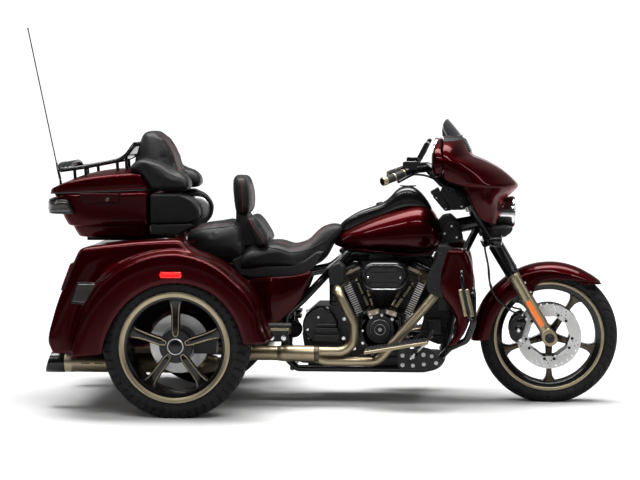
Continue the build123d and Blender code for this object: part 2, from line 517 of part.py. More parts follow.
# ------------------------------------------------------------------ footboards, lower fairings, guard
boards, pboards, lowers = [], [], []
LOWER_SIDE = [(1189, 745), (1288, 733), (1314, 659), (1321, 616), (1315, 529), (1309, 465), (1292, 400), (1262, 340), (1225, 310), (1212, 318), (1236, 360), (1240, 417), (1228, 460), (1200, 500), (1160, 533), (1149, 589), (1157, 658)]
GUARD = [(1252, 78, 620), (1290, 262, 604), (1314, 378, 560), (1316, 386, 410), (1286, 362, 332), (1212, 262, 286), (1172, 162, 232)]
guard = None
for s in (-1, 1):
    g = tube(sided(GUARD, s), 15, [60, 60, 55, 40, 45]) - frame
    guard = [g] if guard is None else guard + [g]
    board = prism_xz([(825, 262), (1115, 310), (1117, 326), (825, 280)], s * 246, s * 372)
    for x, z in ((858, 275), (1056, 308)):
        board = board + block(x - 8, x + 8, min(s * RAIL_Y, s * 312), max(s * RAIL_Y, s * 312), RAIL_Z - 7, RAIL_Z + 7)
        board = board + block(x - 8, x + 8, min(s * 292, s * 312), max(s * 292, s * 312), RAIL_Z - 7, z - 4)
    boards.append(board - frame)
    pb = block(352, 490, min(s * 300, s * 376), max(s * 300, s * 376), 356, 398) + block(374, 480, min(s * 300, s * 322), max(s * 300, s * 322), 314, 356)
    pb = pb + rod((452, s * 166, 328), (452, s * 306, 328), 10)
    pboards.append(pb - frame)
    low = prism_xz(LOWER_SIDE, s * 245, s * 402)
    lowers.append(low)
put("engine_guard", Compound(children=guard))
put("rider_footboards", Compound(children=boards))
put("passenger_footboards", Compound(children=pboards))
cut_lowers = []
for low in lowers:
    for g in guard:
        low = low - g
    cut_lowers.append(low)
put("lower_fairings", Compound(children=cut_lowers))

# ------------------------------------------------------------------ top box
BASE_SIDE = [(-632, 981), (-585, 887), (-559, 843), (-509, 790), (-166, 790), (-150, 812), (-150, 999)]
BOX_PLAN = [(-640, 150), (-606, 262), (-560, 285), (-150, 285)]
base = prism_xz(BASE_SIDE, -BOX_HALF, BOX_HALF) & prism_xy(two_sided(BOX_PLAN), 700, 1100)
BASE_IN = [(-616, 1010), (-574, 887), (-549, 848), (-505, 799), (-172, 799), (-159, 815), (-159, 1010)]
base_in = prism_xz(BASE_IN, -BOX_HALF + BOX_WALL, BOX_HALF - BOX_WALL) & prism_xy(two_sided([(x + (10 if x < -200 else -9), h - 8) for x, h in BOX_PLAN]), 700, 1100)
base = base - base_in
put("top_box_base", base)
LID_SIDE = [(-634, 987), (-640, 1008), (-603, 1024), (-560, 1040), (-495, 1060), (-406, 1078), (-309, 1090), (-274, 1096), (-212, 1078), (-152, 1006)]
lid_out = prism_xz(LID_SIDE, -BOX_HALF, BOX_HALF) & prism_xy(two_sided(BOX_PLAN), 900, 1200)
lid_in = prism_xz([(-616, 980), (-616, 1005), (-560, 1030), (-495, 1050), (-406, 1068), (-309, 1080), (-276, 1085), (-220, 1068), (-168, 1000)], -BOX_HALF + BOX_WALL, BOX_HALF - BOX_WALL)
lid_in = lid_in & prism_xy(two_sided([(x + (10 if x < -200 else -9), h - 8) for x, h in BOX_PLAN]), 900, 1200)
box_lid = lid_out - lid_in
# hinge barrels along the left side, on the lid's turning line
PIN_Y, PIN_SLOPE = 291.0, 19 / 482


def pin_at(x):
    return (x, PIN_Y, 994 + (x + 400) * PIN_SLOPE)


for x in (-500, -300):
    box_lid = box_lid + rod(pin_at(x), pin_at(x + 50), 4.5) + block(x + 2, x + 48, 282, 292, pin_at(x)[2] + 3, pin_at(x)[2] + 22)
put("top_box_lid", box_lid)
lamp_u = prism_xy(two_sided([(-660, 165), (-622, 286), (-516, 298)]), 892, 958)
put("top_box_lamp", lamp_u - prism_xz(BASE_SIDE, -BOX_HALF, BOX_HALF) - prism_xy(two_sided(BOX_PLAN), 880, 970) - block(-600, -500, -250, 250, 880, 970))
carrier = block(-470, -60, 150, 190, 766, 790) + block(-470, -60, -190, -150, 766, 790) + block(-420, -380, -150, 150, 772, 790) + block(-120, -80, -150, 150, 772, 790)
carrier = carrier - trunk
put("top_box_carrier", carrier)

# luggage rack on the lid: rail (x, z) at RACK_Y, cross bars and posts
RACK_Y = 165.0
RACK = [(-606, 1083), (-489, 1104), (-367, 1130), (-316, 1146), (-284, 1170), (-264, 1218)]
rack = None
for s in (-1, 1):
    rail = tube([(x, s * RACK_Y, z) for x, z in RACK], 8, [120, 120, 60, 30])
    rack = rail if rack is None else rack + rail
for x, z in ((-602, 1084), (-566, 1090.5), (-530, 1097), (-494, 1103), (-300, 1156), (-267, 1212)):
    rack = rack + rod((x, -RACK_Y, z), (x, RACK_Y, z), 6.5)
for x, z0, z1 in ((-532, 1030, 1095), (-481, 1045, 1104), (-332, 1068, 1140), (-291, 1076, 1162)):
    for s in (-1, 1):
        rack = rack + rod((x, s * RACK_Y, z0), (x, s * RACK_Y, z1), 7)
put("luggage_rack", rack - lid_out)
BACK_SIDE = [(-266, 1120), (-216, 1262), (-177, 1273), (-138, 1257), (-99, 1206), (-76, 1156), (-73, 1135), (-60, 1085), (-72, 1008), (-147, 1008), (-206, 1082)]
put("passenger_backrest", prism_xz(BACK_SIDE, -165, 165) - lid_out)
ARM_SIDE = [(-172, 1090), (-107, 1088), (-35, 1076), (-6, 1061), (12, 1031), (16, 1000), (-60, 998), (-141, 1004), (-192, 1066)]
put("armrests", Compound(children=both(prism_xz(ARM_SIDE, 188, 286) - lid_out)))
# speaker pods: a padded side and a round speaker that faces the passenger
POD_SIDE = [(-149.5, 986), (-21, 986), (32, 963), (61, 922), (67, 893), (55, 864), (8, 850), (-149.5, 846)]
SPEAKER_X, SPEAKER_Z, SPEAKER_R = -5.0, 893.0, 79.0
pod = prism_xz(POD_SIDE, 186, 290) + rod((SPEAKER_X, 176, SPEAKER_Z), (SPEAKER_X, 208, SPEAKER_Z), SPEAKER_R)
put("speaker_pods", Compound(children=both(pod)))
ANT_Y = 222.0
ant = rod((-676, ANT_Y, 1031), (-694, ANT_Y, 1111), 6) + rod((-694, ANT_Y, 1111), (-826.5, ANT_Y, 1755), 2.6) + Solid.make_sphere(4.5, Plane((-826.8, ANT_Y, 1757)), -90, 90, 360)
ant = ant + rod((-668, ANT_Y, 968), (-676, ANT_Y, 1031), 8) + block(-682, -600, ANT_Y - 16, ANT_Y + 16, 961, 979)
put("antenna", ant - prism_xy(two_sided(BOX_PLAN), 900, 984))

# ------------------------------------------------------------------ write
for name, shape in nodes.items():
    solids = shape.solids()
    moved = [s.moved(Location((-X_REF, 0, 0))) for s in solids]
    out = moved[0] if len(moved) == 1 else Compound(children=moved)
    export_step(out, f"parts/{name}.step")
print(len(nodes), "nodes")
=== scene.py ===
import bpy, bmesh
from math import sin, cos, tan, pi, radians, degrees, hypot, sqrt, atan2
from mathutils import Vector, Matrix, noise


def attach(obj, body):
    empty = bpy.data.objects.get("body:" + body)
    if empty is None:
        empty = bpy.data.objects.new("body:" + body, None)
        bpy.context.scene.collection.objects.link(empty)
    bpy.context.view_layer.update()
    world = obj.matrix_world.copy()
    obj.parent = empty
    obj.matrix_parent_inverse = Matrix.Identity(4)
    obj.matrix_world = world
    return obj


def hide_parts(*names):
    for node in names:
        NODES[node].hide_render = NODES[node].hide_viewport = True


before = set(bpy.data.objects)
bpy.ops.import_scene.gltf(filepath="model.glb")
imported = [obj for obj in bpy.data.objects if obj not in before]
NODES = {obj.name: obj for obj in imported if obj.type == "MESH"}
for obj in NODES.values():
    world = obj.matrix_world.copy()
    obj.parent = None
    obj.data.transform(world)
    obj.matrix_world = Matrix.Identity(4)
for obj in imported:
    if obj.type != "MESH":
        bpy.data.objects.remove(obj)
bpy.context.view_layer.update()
scene = bpy.context.scene

# Sizes are millimetres: X forward from the rear axle, Y left, Z up. P() turns them into the shared frame in metres.
X_REF = 580.0


def P(x, y, z):
    return Vector(((x - X_REF) / 1000.0, y / 1000.0, z / 1000.0))


def lerp(a, b, t):
    return a + (b - a) * t


def curve_at(table, x):
    """Straight-line reading of a table of (x, value), sorted by x."""
    if x <= table[0][0]:
        return table[0][1]
    for (x0, v0), (x1, v1) in zip(table, table[1:]):
        if x <= x1:
            return lerp(v0, v1, (x - x0) / (x1 - x0))
    return table[-1][1]


def smooth_at(table, x):
    """Smooth (monotone cubic) reading of a table of (x, value), sorted by x."""
    n = len(table)
    if x <= table[0][0]:
        return table[0][1]
    if x >= table[-1][0]:
        return table[-1][1]
    d = [(table[i + 1][1] - table[i][1]) / (table[i + 1][0] - table[i][0]) for i in range(n - 1)]
    m = [d[0]] + [0.0 if d[i - 1] * d[i] <= 0 else 2 * d[i - 1] * d[i] / (d[i - 1] + d[i]) for i in range(1, n - 1)] + [d[-1]]
    for i in range(n - 1):
        x0, v0 = table[i]
        x1, v1 = table[i + 1]
        if x <= x1:
            h = x1 - x0
            t = (x - x0) / h
            return (2 * t ** 3 - 3 * t ** 2 + 1) * v0 + (t ** 3 - 2 * t ** 2 + t) * h * m[i] + (-2 * t ** 3 + 3 * t ** 2) * v1 + (t ** 3 - t ** 2) * h * m[i + 1]


def spow(v, p):
    return (1 if v >= 0 else -1) * abs(v) ** p


# ------------------------------------------------------------------ mesh helpers
def mesh_object(name, verts, faces, smooth=True, sharp=None):
    me = bpy.data.meshes.new(name)
    me.from_pydata([tuple(v) for v in verts], [], faces)
    bm = bmesh.new()
    bm.from_mesh(me)
    bmesh.ops.remove_doubles(bm, verts=bm.verts, dist=1e-6)
    bmesh.ops.dissolve_degenerate(bm, edges=bm.edges, dist=1e-7)
    bmesh.ops.recalc_face_normals(bm, faces=bm.faces)
    bm.to_mesh(me)
    bm.free()
    me.polygons.foreach_set("use_smooth", [smooth] * len(me.polygons))
    if sharp is not None:
        me.set_sharp_from_angle(angle=radians(sharp))
    ob = bpy.data.objects.new(name, me)
    scene.collection.objects.link(ob)
    return ob


def subsurf(ob, level=2):
    m = ob.modifiers.new("subsurf", "SUBSURF")
    m.levels = m.render_levels = level
    return ob


def bevel(ob, width, segments=3, angle=30):
    m = ob.modifiers.new("bevel", "BEVEL")
    m.width = width / 1000.0
    m.segments = segments
    m.limit_method = "ANGLE"
    m.angle_limit = radians(angle)
    m.use_clamp_overlap = True
    w = ob.modifiers.new("normals", "WEIGHTED_NORMAL")
    w.keep_sharp = False
    return ob


def solidify(ob, thick, offset=-1):
    m = ob.modifiers.new("solidify", "SOLIDIFY")
    m.thickness = thick / 1000.0
    m.offset = offset
    m.use_even_offset = True
    return ob


def apply_all(ob):
    """Turns the object's modifiers into plain mesh."""
    deps = bpy.context.evaluated_depsgraph_get()
    me = bpy.data.meshes.new_from_object(ob.evaluated_get(deps), depsgraph=deps)
    ob.modifiers.clear()
    old = ob.data
    ob.data = me
    bpy.data.meshes.remove(old)
    return ob


def loft(name, rings, closed=True, caps=True, smooth=True, sharp=None):
    n = len(rings[0])
    verts = [v for r in rings for v in r]
    faces = []
    for i in range(len(rings) - 1):
        for j in range(n if closed else n - 1):
            a, b = i * n + j, i * n + (j + 1) % n
            faces.append((a, b, b + n, a + n))
    if closed and caps:
        faces.append(tuple(reversed(range(n))))
        faces.append(tuple((len(rings) - 1) * n + j for j in range(n)))
    return mesh_object(name, verts, faces, smooth, sharp)


class Kit:
    """Collects many small solids into one mesh."""

    def __init__(self):
        self.v, self.f = [], []

    def add(self, verts, faces):
        o = len(self.v)
        self.v += [tuple(v) for v in verts]
        self.f += [tuple(i + o for i in f) for f in faces]

    def turned(self, p, q, profile, seg=20):
        """A solid of (distance along p-q in mm, radius in mm) pairs turned about the line p-q."""
        p, q = Vector(p), Vector(q)
        d = (q - p).normalized()
        u = d.orthogonal().normalized()
        w = d.cross(u)
        rings = []
        for t, r in profile:
            rings.append([p + d * (t / 1000) + (u * cos(2 * pi * k / seg) + w * sin(2 * pi * k / seg)) * (max(r, 0.01) / 1000) for k in range(seg)])
        verts = [v for r in rings for v in r]
        faces = []
        for i in range(len(rings) - 1):
            for k in range(seg):
                a, b = i * seg + k, i * seg + (k + 1) % seg
                faces.append((a, b, b + seg, a + seg))
        faces.append(tuple(reversed(range(seg))))
        faces.append(tuple((len(rings) - 1) * seg + k for k in range(seg)))
        self.add(verts, faces)

    def rod(self, p, q, r, seg=20, chamfer=0.0):
        length = (Vector(q) - Vector(p)).length * 1000
        c = chamfer
        prof = [(0, r - c), (c, r), (length - c, r), (length, r - c)] if c else [(0, r), (length, r)]
        self.turned(p, q, prof, seg)

    def bolt(self, p, direction, r, h, hexed=False):
        """A screw head standing on p: domed socket head, or six-sided."""
        p, d = Vector(p), Vector(direction).normalized()
        q = p + d * (h / 1000)
        if hexed:
            self.turned(p, q, [(0, r * 1.25), (0.8, r * 1.25)], 20)
            self.turned(p, q, [(0.8, r), (h - 1, r), (h, r * 0.82)], 6)
        else:
            self.turned(p, q, [(0, r), (h * 0.6, r), (h * 0.88, r * 0.86), (h, r * 0.55), (h * 0.6, r * 0.5), (h * 0.55, 0)], 16)

    def box(self, lo, hi):
        x0, y0, z0 = lo
        x1, y1, z1 = hi
        v = [(x, y, z) for x in (x0, x1) for y in (y0, y1) for z in (z0, z1)]
        self.add(v, [(0, 1, 3, 2), (4, 6, 7, 5), (0, 4, 5, 1), (2, 3, 7, 6), (0, 2, 6, 4), (1, 5, 7, 3)])

    def prism(self, outline, y0, y1):
        """A side-view outline of (x, z) in mm, from y0 to y1."""
        n = len(outline)
        v = [P(x, y0, z) for x, z in outline] + [P(x, y1, z) for x, z in outline]
        f = [tuple(reversed(range(n))), tuple(range(n, 2 * n))] + [(k, (k + 1) % n, n + (k + 1) % n, n + k) for k in range(n)]
        self.add(v, f)

    def torus(self, c, axis, R, r, seg=48, sub=10):
        c, d = Vector(c), Vector(axis).normalized()
        u = d.orthogonal().normalized()
        w = d.cross(u)
        v, f = [], []
        for i in range(seg):
            e = u * cos(2 * pi * i / seg) + w * sin(2 * pi * i / seg)
            for j in range(sub):
                b = 2 * pi * j / sub
                v.append(c + e * ((R + r * cos(b)) / 1000) + d * (r * sin(b) / 1000))
        for i in range(seg):
            for j in range(sub):
                f.append((i * sub + j, i * sub + (j + 1) % sub, ((i + 1) % seg) * sub + (j + 1) % sub, ((i + 1) % seg) * sub + j))
        self.add(v, f)

    def build(self, name, smooth=True, sharp=35):
        return mesh_object(name, self.v, self.f, smooth, sharp)


def wire(name, points, r, cyclic=False, order=3, kind="NURBS", res=6, ring=6):
    """A round tube along a smooth line through or near the points, as a mesh."""
    cu = bpy.data.curves.new(name, "CURVE")
    cu.dimensions = "3D"
    sp = cu.splines.new(kind)
    if kind == "BEZIER":
        sp.bezier_points.add(len(points) - 1)
        for b, p in zip(sp.bezier_points, points):
            b.co = p
            b.handle_left_type = b.handle_right_type = "AUTO"
    else:
        sp.points.add(len(points) - 1)
        for b, p in zip(sp.points, points):
            b.co = (*p, 1.0)
        sp.order_u = order
        sp.use_endpoint_u = not cyclic
    sp.use_cyclic_u = cyclic
    cu.resolution_u = res
    cu.bevel_depth = r / 1000.0
    cu.bevel_resolution = ring
    cu.use_fill_caps = True
    tmp = bpy.data.objects.new(name + "_line", cu)
    scene.collection.objects.link(tmp)
    deps = bpy.context.evaluated_depsgraph_get()
    me = bpy.data.meshes.new_from_object(tmp.evaluated_get(deps), depsgraph=deps)
    bpy.data.objects.remove(tmp)
    bpy.data.curves.remove(cu)
    me.name = name
    ob = bpy.data.objects.new(name, me)
    scene.collection.objects.link(ob)
    me.polygons.foreach_set("use_smooth", [True] * len(me.polygons))
    return ob


def turned(name, p, q, profile, seg=64, sharp=35):
    k = Kit()
    k.turned(p, q, profile, seg)
    return k.build(name, True, sharp)


def plate(name, outline, y0, y1, edge=3, segments=3):
    k = Kit()
    k.prism(outline, y0, y1)
    ob = k.build(name, True, None)
    if edge:
        bevel(ob, edge, segments)
    return ob


def join(name, obs):
    """Several objects into one mesh, with their modifiers applied."""
    bm = bmesh.new()
    deps = bpy.context.evaluated_depsgraph_get()
    mats = []
    for o in obs:
        me = bpy.data.meshes.new_from_object(o.evaluated_get(deps), depsgraph=deps)
        me.transform(o.matrix_world)
        start = len(bm.faces)
        remap = {}
        for i, m in enumerate(me.materials):
            if m not in mats:
                mats.append(m)
            remap[i] = mats.index(m)
        bm.from_mesh(me)
        bm.faces.ensure_lookup_table()
        for f in bm.faces[start:]:
            f.material_index = remap.get(f.material_index, 0)
        bpy.data.meshes.remove(me)
    me = bpy.data.meshes.new(name)
    bm.to_mesh(me)
    bm.free()
    for m in mats:
        me.materials.append(m)
    ob = bpy.data.objects.new(name, me)
    scene.collection.objects.link(ob)
    for o in obs:
        bpy.data.objects.remove(o)
    return ob


def mirror_copy(ob, name):
    """The same piece on the other side of the centre plane."""
    me = ob.data.copy()
    me.name = name
    bm = bmesh.new()
    bm.from_mesh(me)
    for v in bm.verts:
        v.co.y = -v.co.y
    bmesh.ops.reverse_faces(bm, faces=bm.faces)
    bm.to_mesh(me)
    bm.free()
    other = bpy.data.objects.new(name, me)
    scene.collection.objects.link(other)
    for m in ob.modifiers:
        c = other.modifiers.new(m.name, m.type)
        for p in m.bl_rna.properties:
            if not p.is_readonly and p.identifier not in ("name", "show_expanded"):
                setattr(c, p.identifier, getattr(m, p.identifier))
    return other


def give(ob, material, body, slot=None, stands_for=()):
    """Finish and body of a piece; hides the imported parts it stands for."""
    if material is not None:
        ob.data.materials.clear()
        ob.data.materials.append(material)
    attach(ob, body)
    if stands_for:
        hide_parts(*([stands_for] if isinstance(stands_for, str) else stands_for))
    return ob


def give_both(ob, name, material, body, slot=None, stands_for=()):
    other = mirror_copy(ob, name)
    give(ob, material, body, slot, stands_for)
    give(other, material, body, slot, stands_for)
    return other


# ------------------------------------------------------------------ materials
class Mat:
    """A procedural finish: a principled shader with colour, roughness and bump from noise in the shared frame."""

    def __init__(self, name, color, rough=0.4, metallic=0.0, **sockets):
        self.m = bpy.data.materials.new(name)
        self.m.use_nodes = True
        self.nt = self.m.node_tree
        self.b = self.nt.nodes["Principled BSDF"]
        self.b.inputs["Base Color"].default_value = (*color, 1)
        self.b.inputs["Roughness"].default_value = rough
        self.b.inputs["Metallic"].default_value = metallic
        for k, v in sockets.items():
            self.b.inputs[k.replace("_", " ")].default_value = v
        self.m.diffuse_color = (*color, 1)
        self.coord = self.nt.nodes.new("ShaderNodeTexCoord").outputs["Object"]
        self.bump_from = None

    def node(self, kind, **props):
        n = self.nt.nodes.new("ShaderNode" + kind)
        for k, v in props.items():
            setattr(n, k, v)
        return n

    def link(self, a, b):
        self.nt.links.new(a, b)

    def scaled(self, scale):
        if isinstance(scale, (int, float)):
            return self.coord
        n = self.node("Mapping")
        n.inputs["Scale"].default_value = scale
        self.link(self.coord, n.inputs["Vector"])
        return n.outputs["Vector"]

    def noise(self, scale, detail=3.0, rough=0.5, stretch=None, distortion=0.0):
        n = self.node("TexNoise")
        n.inputs["Scale"].default_value = scale
        n.inputs["Detail"].default_value = detail
        n.inputs["Roughness"].default_value = rough
        n.inputs["Distortion"].default_value = distortion
        self.link(self.scaled(stretch) if stretch else self.coord, n.inputs["Vector"])
        return n.outputs["Fac"]

    def voronoi(self, scale, feature="F1", out="Distance", stretch=None):
        n = self.node("TexVoronoi", feature=feature)
        n.inputs["Scale"].default_value = scale
        self.link(self.scaled(stretch) if stretch else self.coord, n.inputs["Vector"])
        return n.outputs[out]

    def ramp(self, fac, stops):
        n = self.node("ValToRGB")
        e = n.color_ramp.elements
        while len(e) > len(stops):
            e.remove(e[-1])
        while len(e) < len(stops):
            e.new(1.0)
        for el, (pos, col) in zip(e, stops):
            el.position = pos
            el.color = (*col, 1) if len(col) == 3 else col
        self.link(fac, n.inputs["Fac"])
        return n.outputs["Color"]

    def span(self, fac, lo, hi):
        n = self.node("MapRange")
        n.inputs["To Min"].default_value = lo
        n.inputs["To Max"].default_value = hi
        self.link(fac, n.inputs["Value"])
        return n.outputs["Result"]

    def color(self, fac, stops):
        self.link(self.ramp(fac, stops), self.b.inputs["Base Color"])
        return self

    def rough(self, fac, lo, hi):
        self.link(self.span(fac, lo, hi), self.b.inputs["Roughness"])
        return self

    def bump(self, height, strength=0.3, distance=0.001):
        n = self.node("Bump")
        n.inputs["Strength"].default_value = strength
        n.inputs["Distance"].default_value = distance
        self.link(height, n.inputs["Height"])
        if self.bump_from is not None:
            self.link(self.bump_from, n.inputs["Normal"])
        self.bump_from = n.outputs["Normal"]
        self.link(self.bump_from, self.b.inputs["Normal"])
        return self


def make_paint(name, dark, mid):
    """Deep pearl lacquer: fine flakes under a clear coat, with slow colour drift."""
    a = Mat(name, mid, 0.36, 0.9, Coat_Weight=0.45, Coat_Roughness=0.02, Coat_IOR=1.3, Specular_IOR_Level=0.2)
    a.b.inputs["Specular Tint"].default_value = (0.75, 0.05, 0.08, 1)
    flake = a.voronoi(900.0, out="Color")
    sep = a.node("SeparateColor")
    a.link(flake, sep.inputs["Color"])
    drift = a.noise(2.2, 2.0)
    mix = a.node("Mix", data_type="RGBA")
    mix.inputs[0].default_value = 0.3
    a.link(a.ramp(drift, [(0.3, dark), (0.75, mid)]), mix.inputs[6])
    a.link(a.ramp(sep.outputs["Red"], [(0.0, dark), (0.8, mid), (1.0, tuple(min(1, c * 1.9) for c in mid))]), mix.inputs[7])
    a.link(mix.outputs[2], a.b.inputs["Base Color"])
    a.rough(sep.outputs["Green"], 0.28, 0.44)
    return a.m


PAINT = make_paint("cherry_pearl", (0.014, 0.0002, 0.0007), (0.040, 0.0005, 0.0019))

a = Mat("gloss_black", (0.003, 0.003, 0.0034), 0.2, 0.0, Coat_Weight=0.5, Coat_Roughness=0.04, Coat_IOR=1.35, Specular_IOR_Level=0.2)
a.color(a.noise(6.0), [(0.3, (0.002, 0.002, 0.0024)), (0.8, (0.0045, 0.0045, 0.005))]).rough(a.noise(40.0, 4.0), 0.16, 0.28)
BLACK = a.m

a = Mat("engine_black", (0.007, 0.007, 0.0074), 0.45, 0.0, Specular_IOR_Level=0.3)
a.color(a.noise(30.0, 5.0), [(0.3, (0.0045, 0.0045, 0.0048)), (0.8, (0.011, 0.011, 0.0112))]).rough(a.noise(60.0), 0.36, 0.52)
a.bump(a.noise(900.0, 2.0), 0.25, 0.0006)
ENGINE = a.m

a = Mat("satin_bronze", (0.29, 0.243, 0.162), 0.36, 1.0)
a.color(a.noise(9.0, 4.0), [(0.25, (0.25, 0.208, 0.136)), (0.8, (0.335, 0.283, 0.192))]).rough(a.noise(120.0, 3.0), 0.3, 0.46)
a.bump(a.noise(1500.0, 2.0), 0.10, 0.0003)
BRONZE = a.m

a = Mat("dark_bronze", (0.085, 0.07, 0.05), 0.38, 1.0)
a.color(a.noise(9.0, 4.0), [(0.25, (0.062, 0.051, 0.037)), (0.8, (0.115, 0.095, 0.068))]).rough(a.noise(120.0, 3.0), 0.32, 0.48)
DARK_BRONZE = a.m

a = Mat("polished_steel", (0.72, 0.72, 0.73), 0.12, 1.0)
a.rough(a.noise(80.0, 4.0), 0.07, 0.2)
a.color(a.noise(14.0), [(0.3, (0.62, 0.62, 0.64)), (0.8, (0.80, 0.80, 0.80))])
CHROME = a.m

a = Mat("satin_silver", (0.5, 0.5, 0.51), 0.34, 1.0)
a.color(a.noise(20.0, 4.0), [(0.3, (0.42, 0.42, 0.43)), (0.8, (0.58, 0.58, 0.59))]).rough(a.noise(200.0), 0.28, 0.44)
SILVER = a.m


def make_disc(name, cx, cz, lo, hi):
    """Ground steel: fine rings round the axle, with a slightly darker swept band."""
    a = Mat(name, (0.8, 0.8, 0.8), 0.42, 0.25)
    sep = a.node("SeparateXYZ")
    a.link(a.coord, sep.inputs["Vector"])
    dx = a.node("Math", operation="SUBTRACT")
    dx.inputs[1].default_value = cx
    a.link(sep.outputs["X"], dx.inputs[0])
    dz = a.node("Math", operation="SUBTRACT")
    dz.inputs[1].default_value = cz
    a.link(sep.outputs["Z"], dz.inputs[0])
    x2 = a.node("Math", operation="POWER")
    x2.inputs[1].default_value = 2.0
    z2 = a.node("Math", operation="POWER")
    z2.inputs[1].default_value = 2.0
    ax = a.node("Math", operation="ABSOLUTE")
    az = a.node("Math", operation="ABSOLUTE")
    a.link(dx.outputs[0], ax.inputs[0])
    a.link(dz.outputs[0], az.inputs[0])
    a.link(ax.outputs[0], x2.inputs[0])
    a.link(az.outputs[0], z2.inputs[0])
    s = a.node("Math", operation="ADD")
    a.link(x2.outputs[0], s.inputs[0])
    a.link(z2.outputs[0], s.inputs[1])
    r = a.node("Math", operation="SQRT")
    a.link(s.outputs[0], r.inputs[0])
    n = a.node("TexNoise", noise_dimensions="1D")
    n.inputs["Scale"].default_value = 900.0
    n.inputs["Detail"].default_value = 3.0
    a.link(r.outputs[0], n.inputs["W"])
    a.color(n.outputs["Fac"], [(0.3, (lo, lo, lo)), (0.7, (hi, hi, hi * 0.99))]).rough(n.outputs["Fac"], 0.34, 0.5)
    a.bump(n.outputs["Fac"], 0.15, 0.0003)
    return a.m


# one ground steel at two brightnesses: the front discs are painted darker against the strong light on them and the rear
# discs painted lighter against the shade inside the rear wheels: painted shade and painted light
DISC_FRONT_PAINTED_DARKER = make_disc("disc_front", (1670 - X_REF) / 1000, 0.3193, 0.40, 0.58)
DISC_REAR_PAINTED_LIGHTER = make_disc("disc_rear", -X_REF / 1000, 0.325, 0.78, 0.94)

a = Mat("tyre_rubber", (0.008, 0.008, 0.0084), 0.7, 0.0, Specular_IOR_Level=0.16)
a.color(a.noise(25.0, 5.0), [(0.3, (0.005, 0.005, 0.0053)), (0.8, (0.010, 0.010, 0.0103))]).rough(a.noise(50.0), 0.58, 0.8)
a.bump(a.noise(700.0, 3.0), 0.2, 0.0005)
TYRE = a.m

a = Mat("soft_rubber", (0.009, 0.009, 0.009), 0.62, 0.0, Specular_IOR_Level=0.3)
a.color(a.noise(40.0, 5.0), [(0.3, (0.006, 0.006, 0.006)), (0.8, (0.013, 0.013, 0.013))]).rough(a.noise(90.0), 0.52, 0.7)
a.bump(a.noise(1200.0, 2.0), 0.2, 0.0004)
RUBBER = a.m


def make_leather(name, lo, hi, rough):
    """Upholstery hide: small uneven cells, pores and slow wear."""
    a = Mat(name, lo, rough, 0.0, Sheen_Weight=0.02, Sheen_Roughness=0.5, Specular_IOR_Level=0.16)
    cells = a.voronoi(420.0, "DISTANCE_TO_EDGE")
    wear = a.noise(7.0, 4.0)
    a.color(wear, [(0.3, lo), (0.78, hi)]).rough(wear, rough - 0.08, rough + 0.08)
    a.bump(cells, 0.35, 0.0006)
    a.bump(a.noise(120.0, 4.0), 0.2, 0.0008)
    return a.m


LEATHER = make_leather("black_leather", (0.0025, 0.0025, 0.0027), (0.0055, 0.0053, 0.0055), 0.45)
# a lighter copy of the black leather, put on side-facing faces of the cushions: painted highlight
LEATHER_PAINTED_HIGHLIGHT = make_leather("grey_leather", (0.006, 0.0058, 0.006), (0.012, 0.0117, 0.0118), 0.52)

a = Mat("red_thread", (0.16, 0.014, 0.018), 0.7)
a.color(a.noise(600.0), [(0.3, (0.10, 0.008, 0.012)), (0.8, (0.22, 0.02, 0.026))]).bump(a.noise(2500.0), 0.5, 0.0004)
THREAD = a.m

a = Mat("grained_plastic", (0.0075, 0.0075, 0.0078), 0.55, 0.0, Specular_IOR_Level=0.25)
a.color(a.noise(18.0, 4.0), [(0.3, (0.003, 0.003, 0.0032)), (0.8, (0.007, 0.007, 0.0072))]).rough(a.noise(60.0), 0.46, 0.62)
a.bump(a.voronoi(700.0), 0.3, 0.0005)
PLASTIC = a.m

a = Mat("inner_black", (0.003, 0.003, 0.003), 0.85, 0.0, Specular_IOR_Level=0.1)
a.color(a.noise(20.0), [(0.3, (0.002, 0.002, 0.002)), (0.8, (0.005, 0.005, 0.005))]).rough(a.noise(60.0), 0.7, 0.88)
INNER = a.m


def make_lens(name, lo, hi, rough=0.08):
    """Moulded lens with fine ribs under a gloss skin."""
    a = Mat(name, hi, rough, 0.0, Coat_Weight=1.0, Coat_Roughness=0.02)
    ribs = a.node("TexWave", wave_type="BANDS", bands_direction="X")
    ribs.inputs["Scale"].default_value = 60.0
    a.link(a.coord, ribs.inputs["Vector"])
    a.color(ribs.outputs["Fac"], [(0.2, lo), (0.85, hi)]).bump(ribs.outputs["Fac"], 0.25, 0.0008)
    return a.m


RED_LENS_PAINTED_GLOW = make_lens("red_lens", (0.6, 0.003, 0.003), (0.9, 0.006, 0.006))
# the red lens is also given a faint red glow, though no lamp is lit: painted light
RED_LENS_PAINTED_GLOW.node_tree.nodes["Principled BSDF"].inputs["Emission Color"].default_value = (1.0, 0.004, 0.004, 1)
RED_LENS_PAINTED_GLOW.node_tree.nodes["Principled BSDF"].inputs["Emission Strength"].default_value = 0.35
DARK_LENS = make_lens("dark_lens", (0.010, 0.0085, 0.0085), (0.032, 0.026, 0.025))
AMBER = make_lens("amber_lens", (0.62, 0.10, 0.004), (0.98, 0.22, 0.012))

a = Mat("clear_lens", (0.92, 0.94, 0.95), 0.03, 0.0, Transmission_Weight=1.0, IOR=1.45)
a.rough(a.noise(30.0), 0.01, 0.05)
CLEAR = a.m

a = Mat("smoked_acrylic", (0.022, 0.022, 0.024), 0.05, 0.0, Transmission_Weight=0.25, IOR=1.45, Specular_IOR_Level=0.15)
a.color(a.noise(5.0), [(0.3, (0.012, 0.012, 0.0135)), (0.8, (0.02, 0.02, 0.0215))]).rough(a.noise(30.0), 0.08, 0.14)
SMOKE = a.m

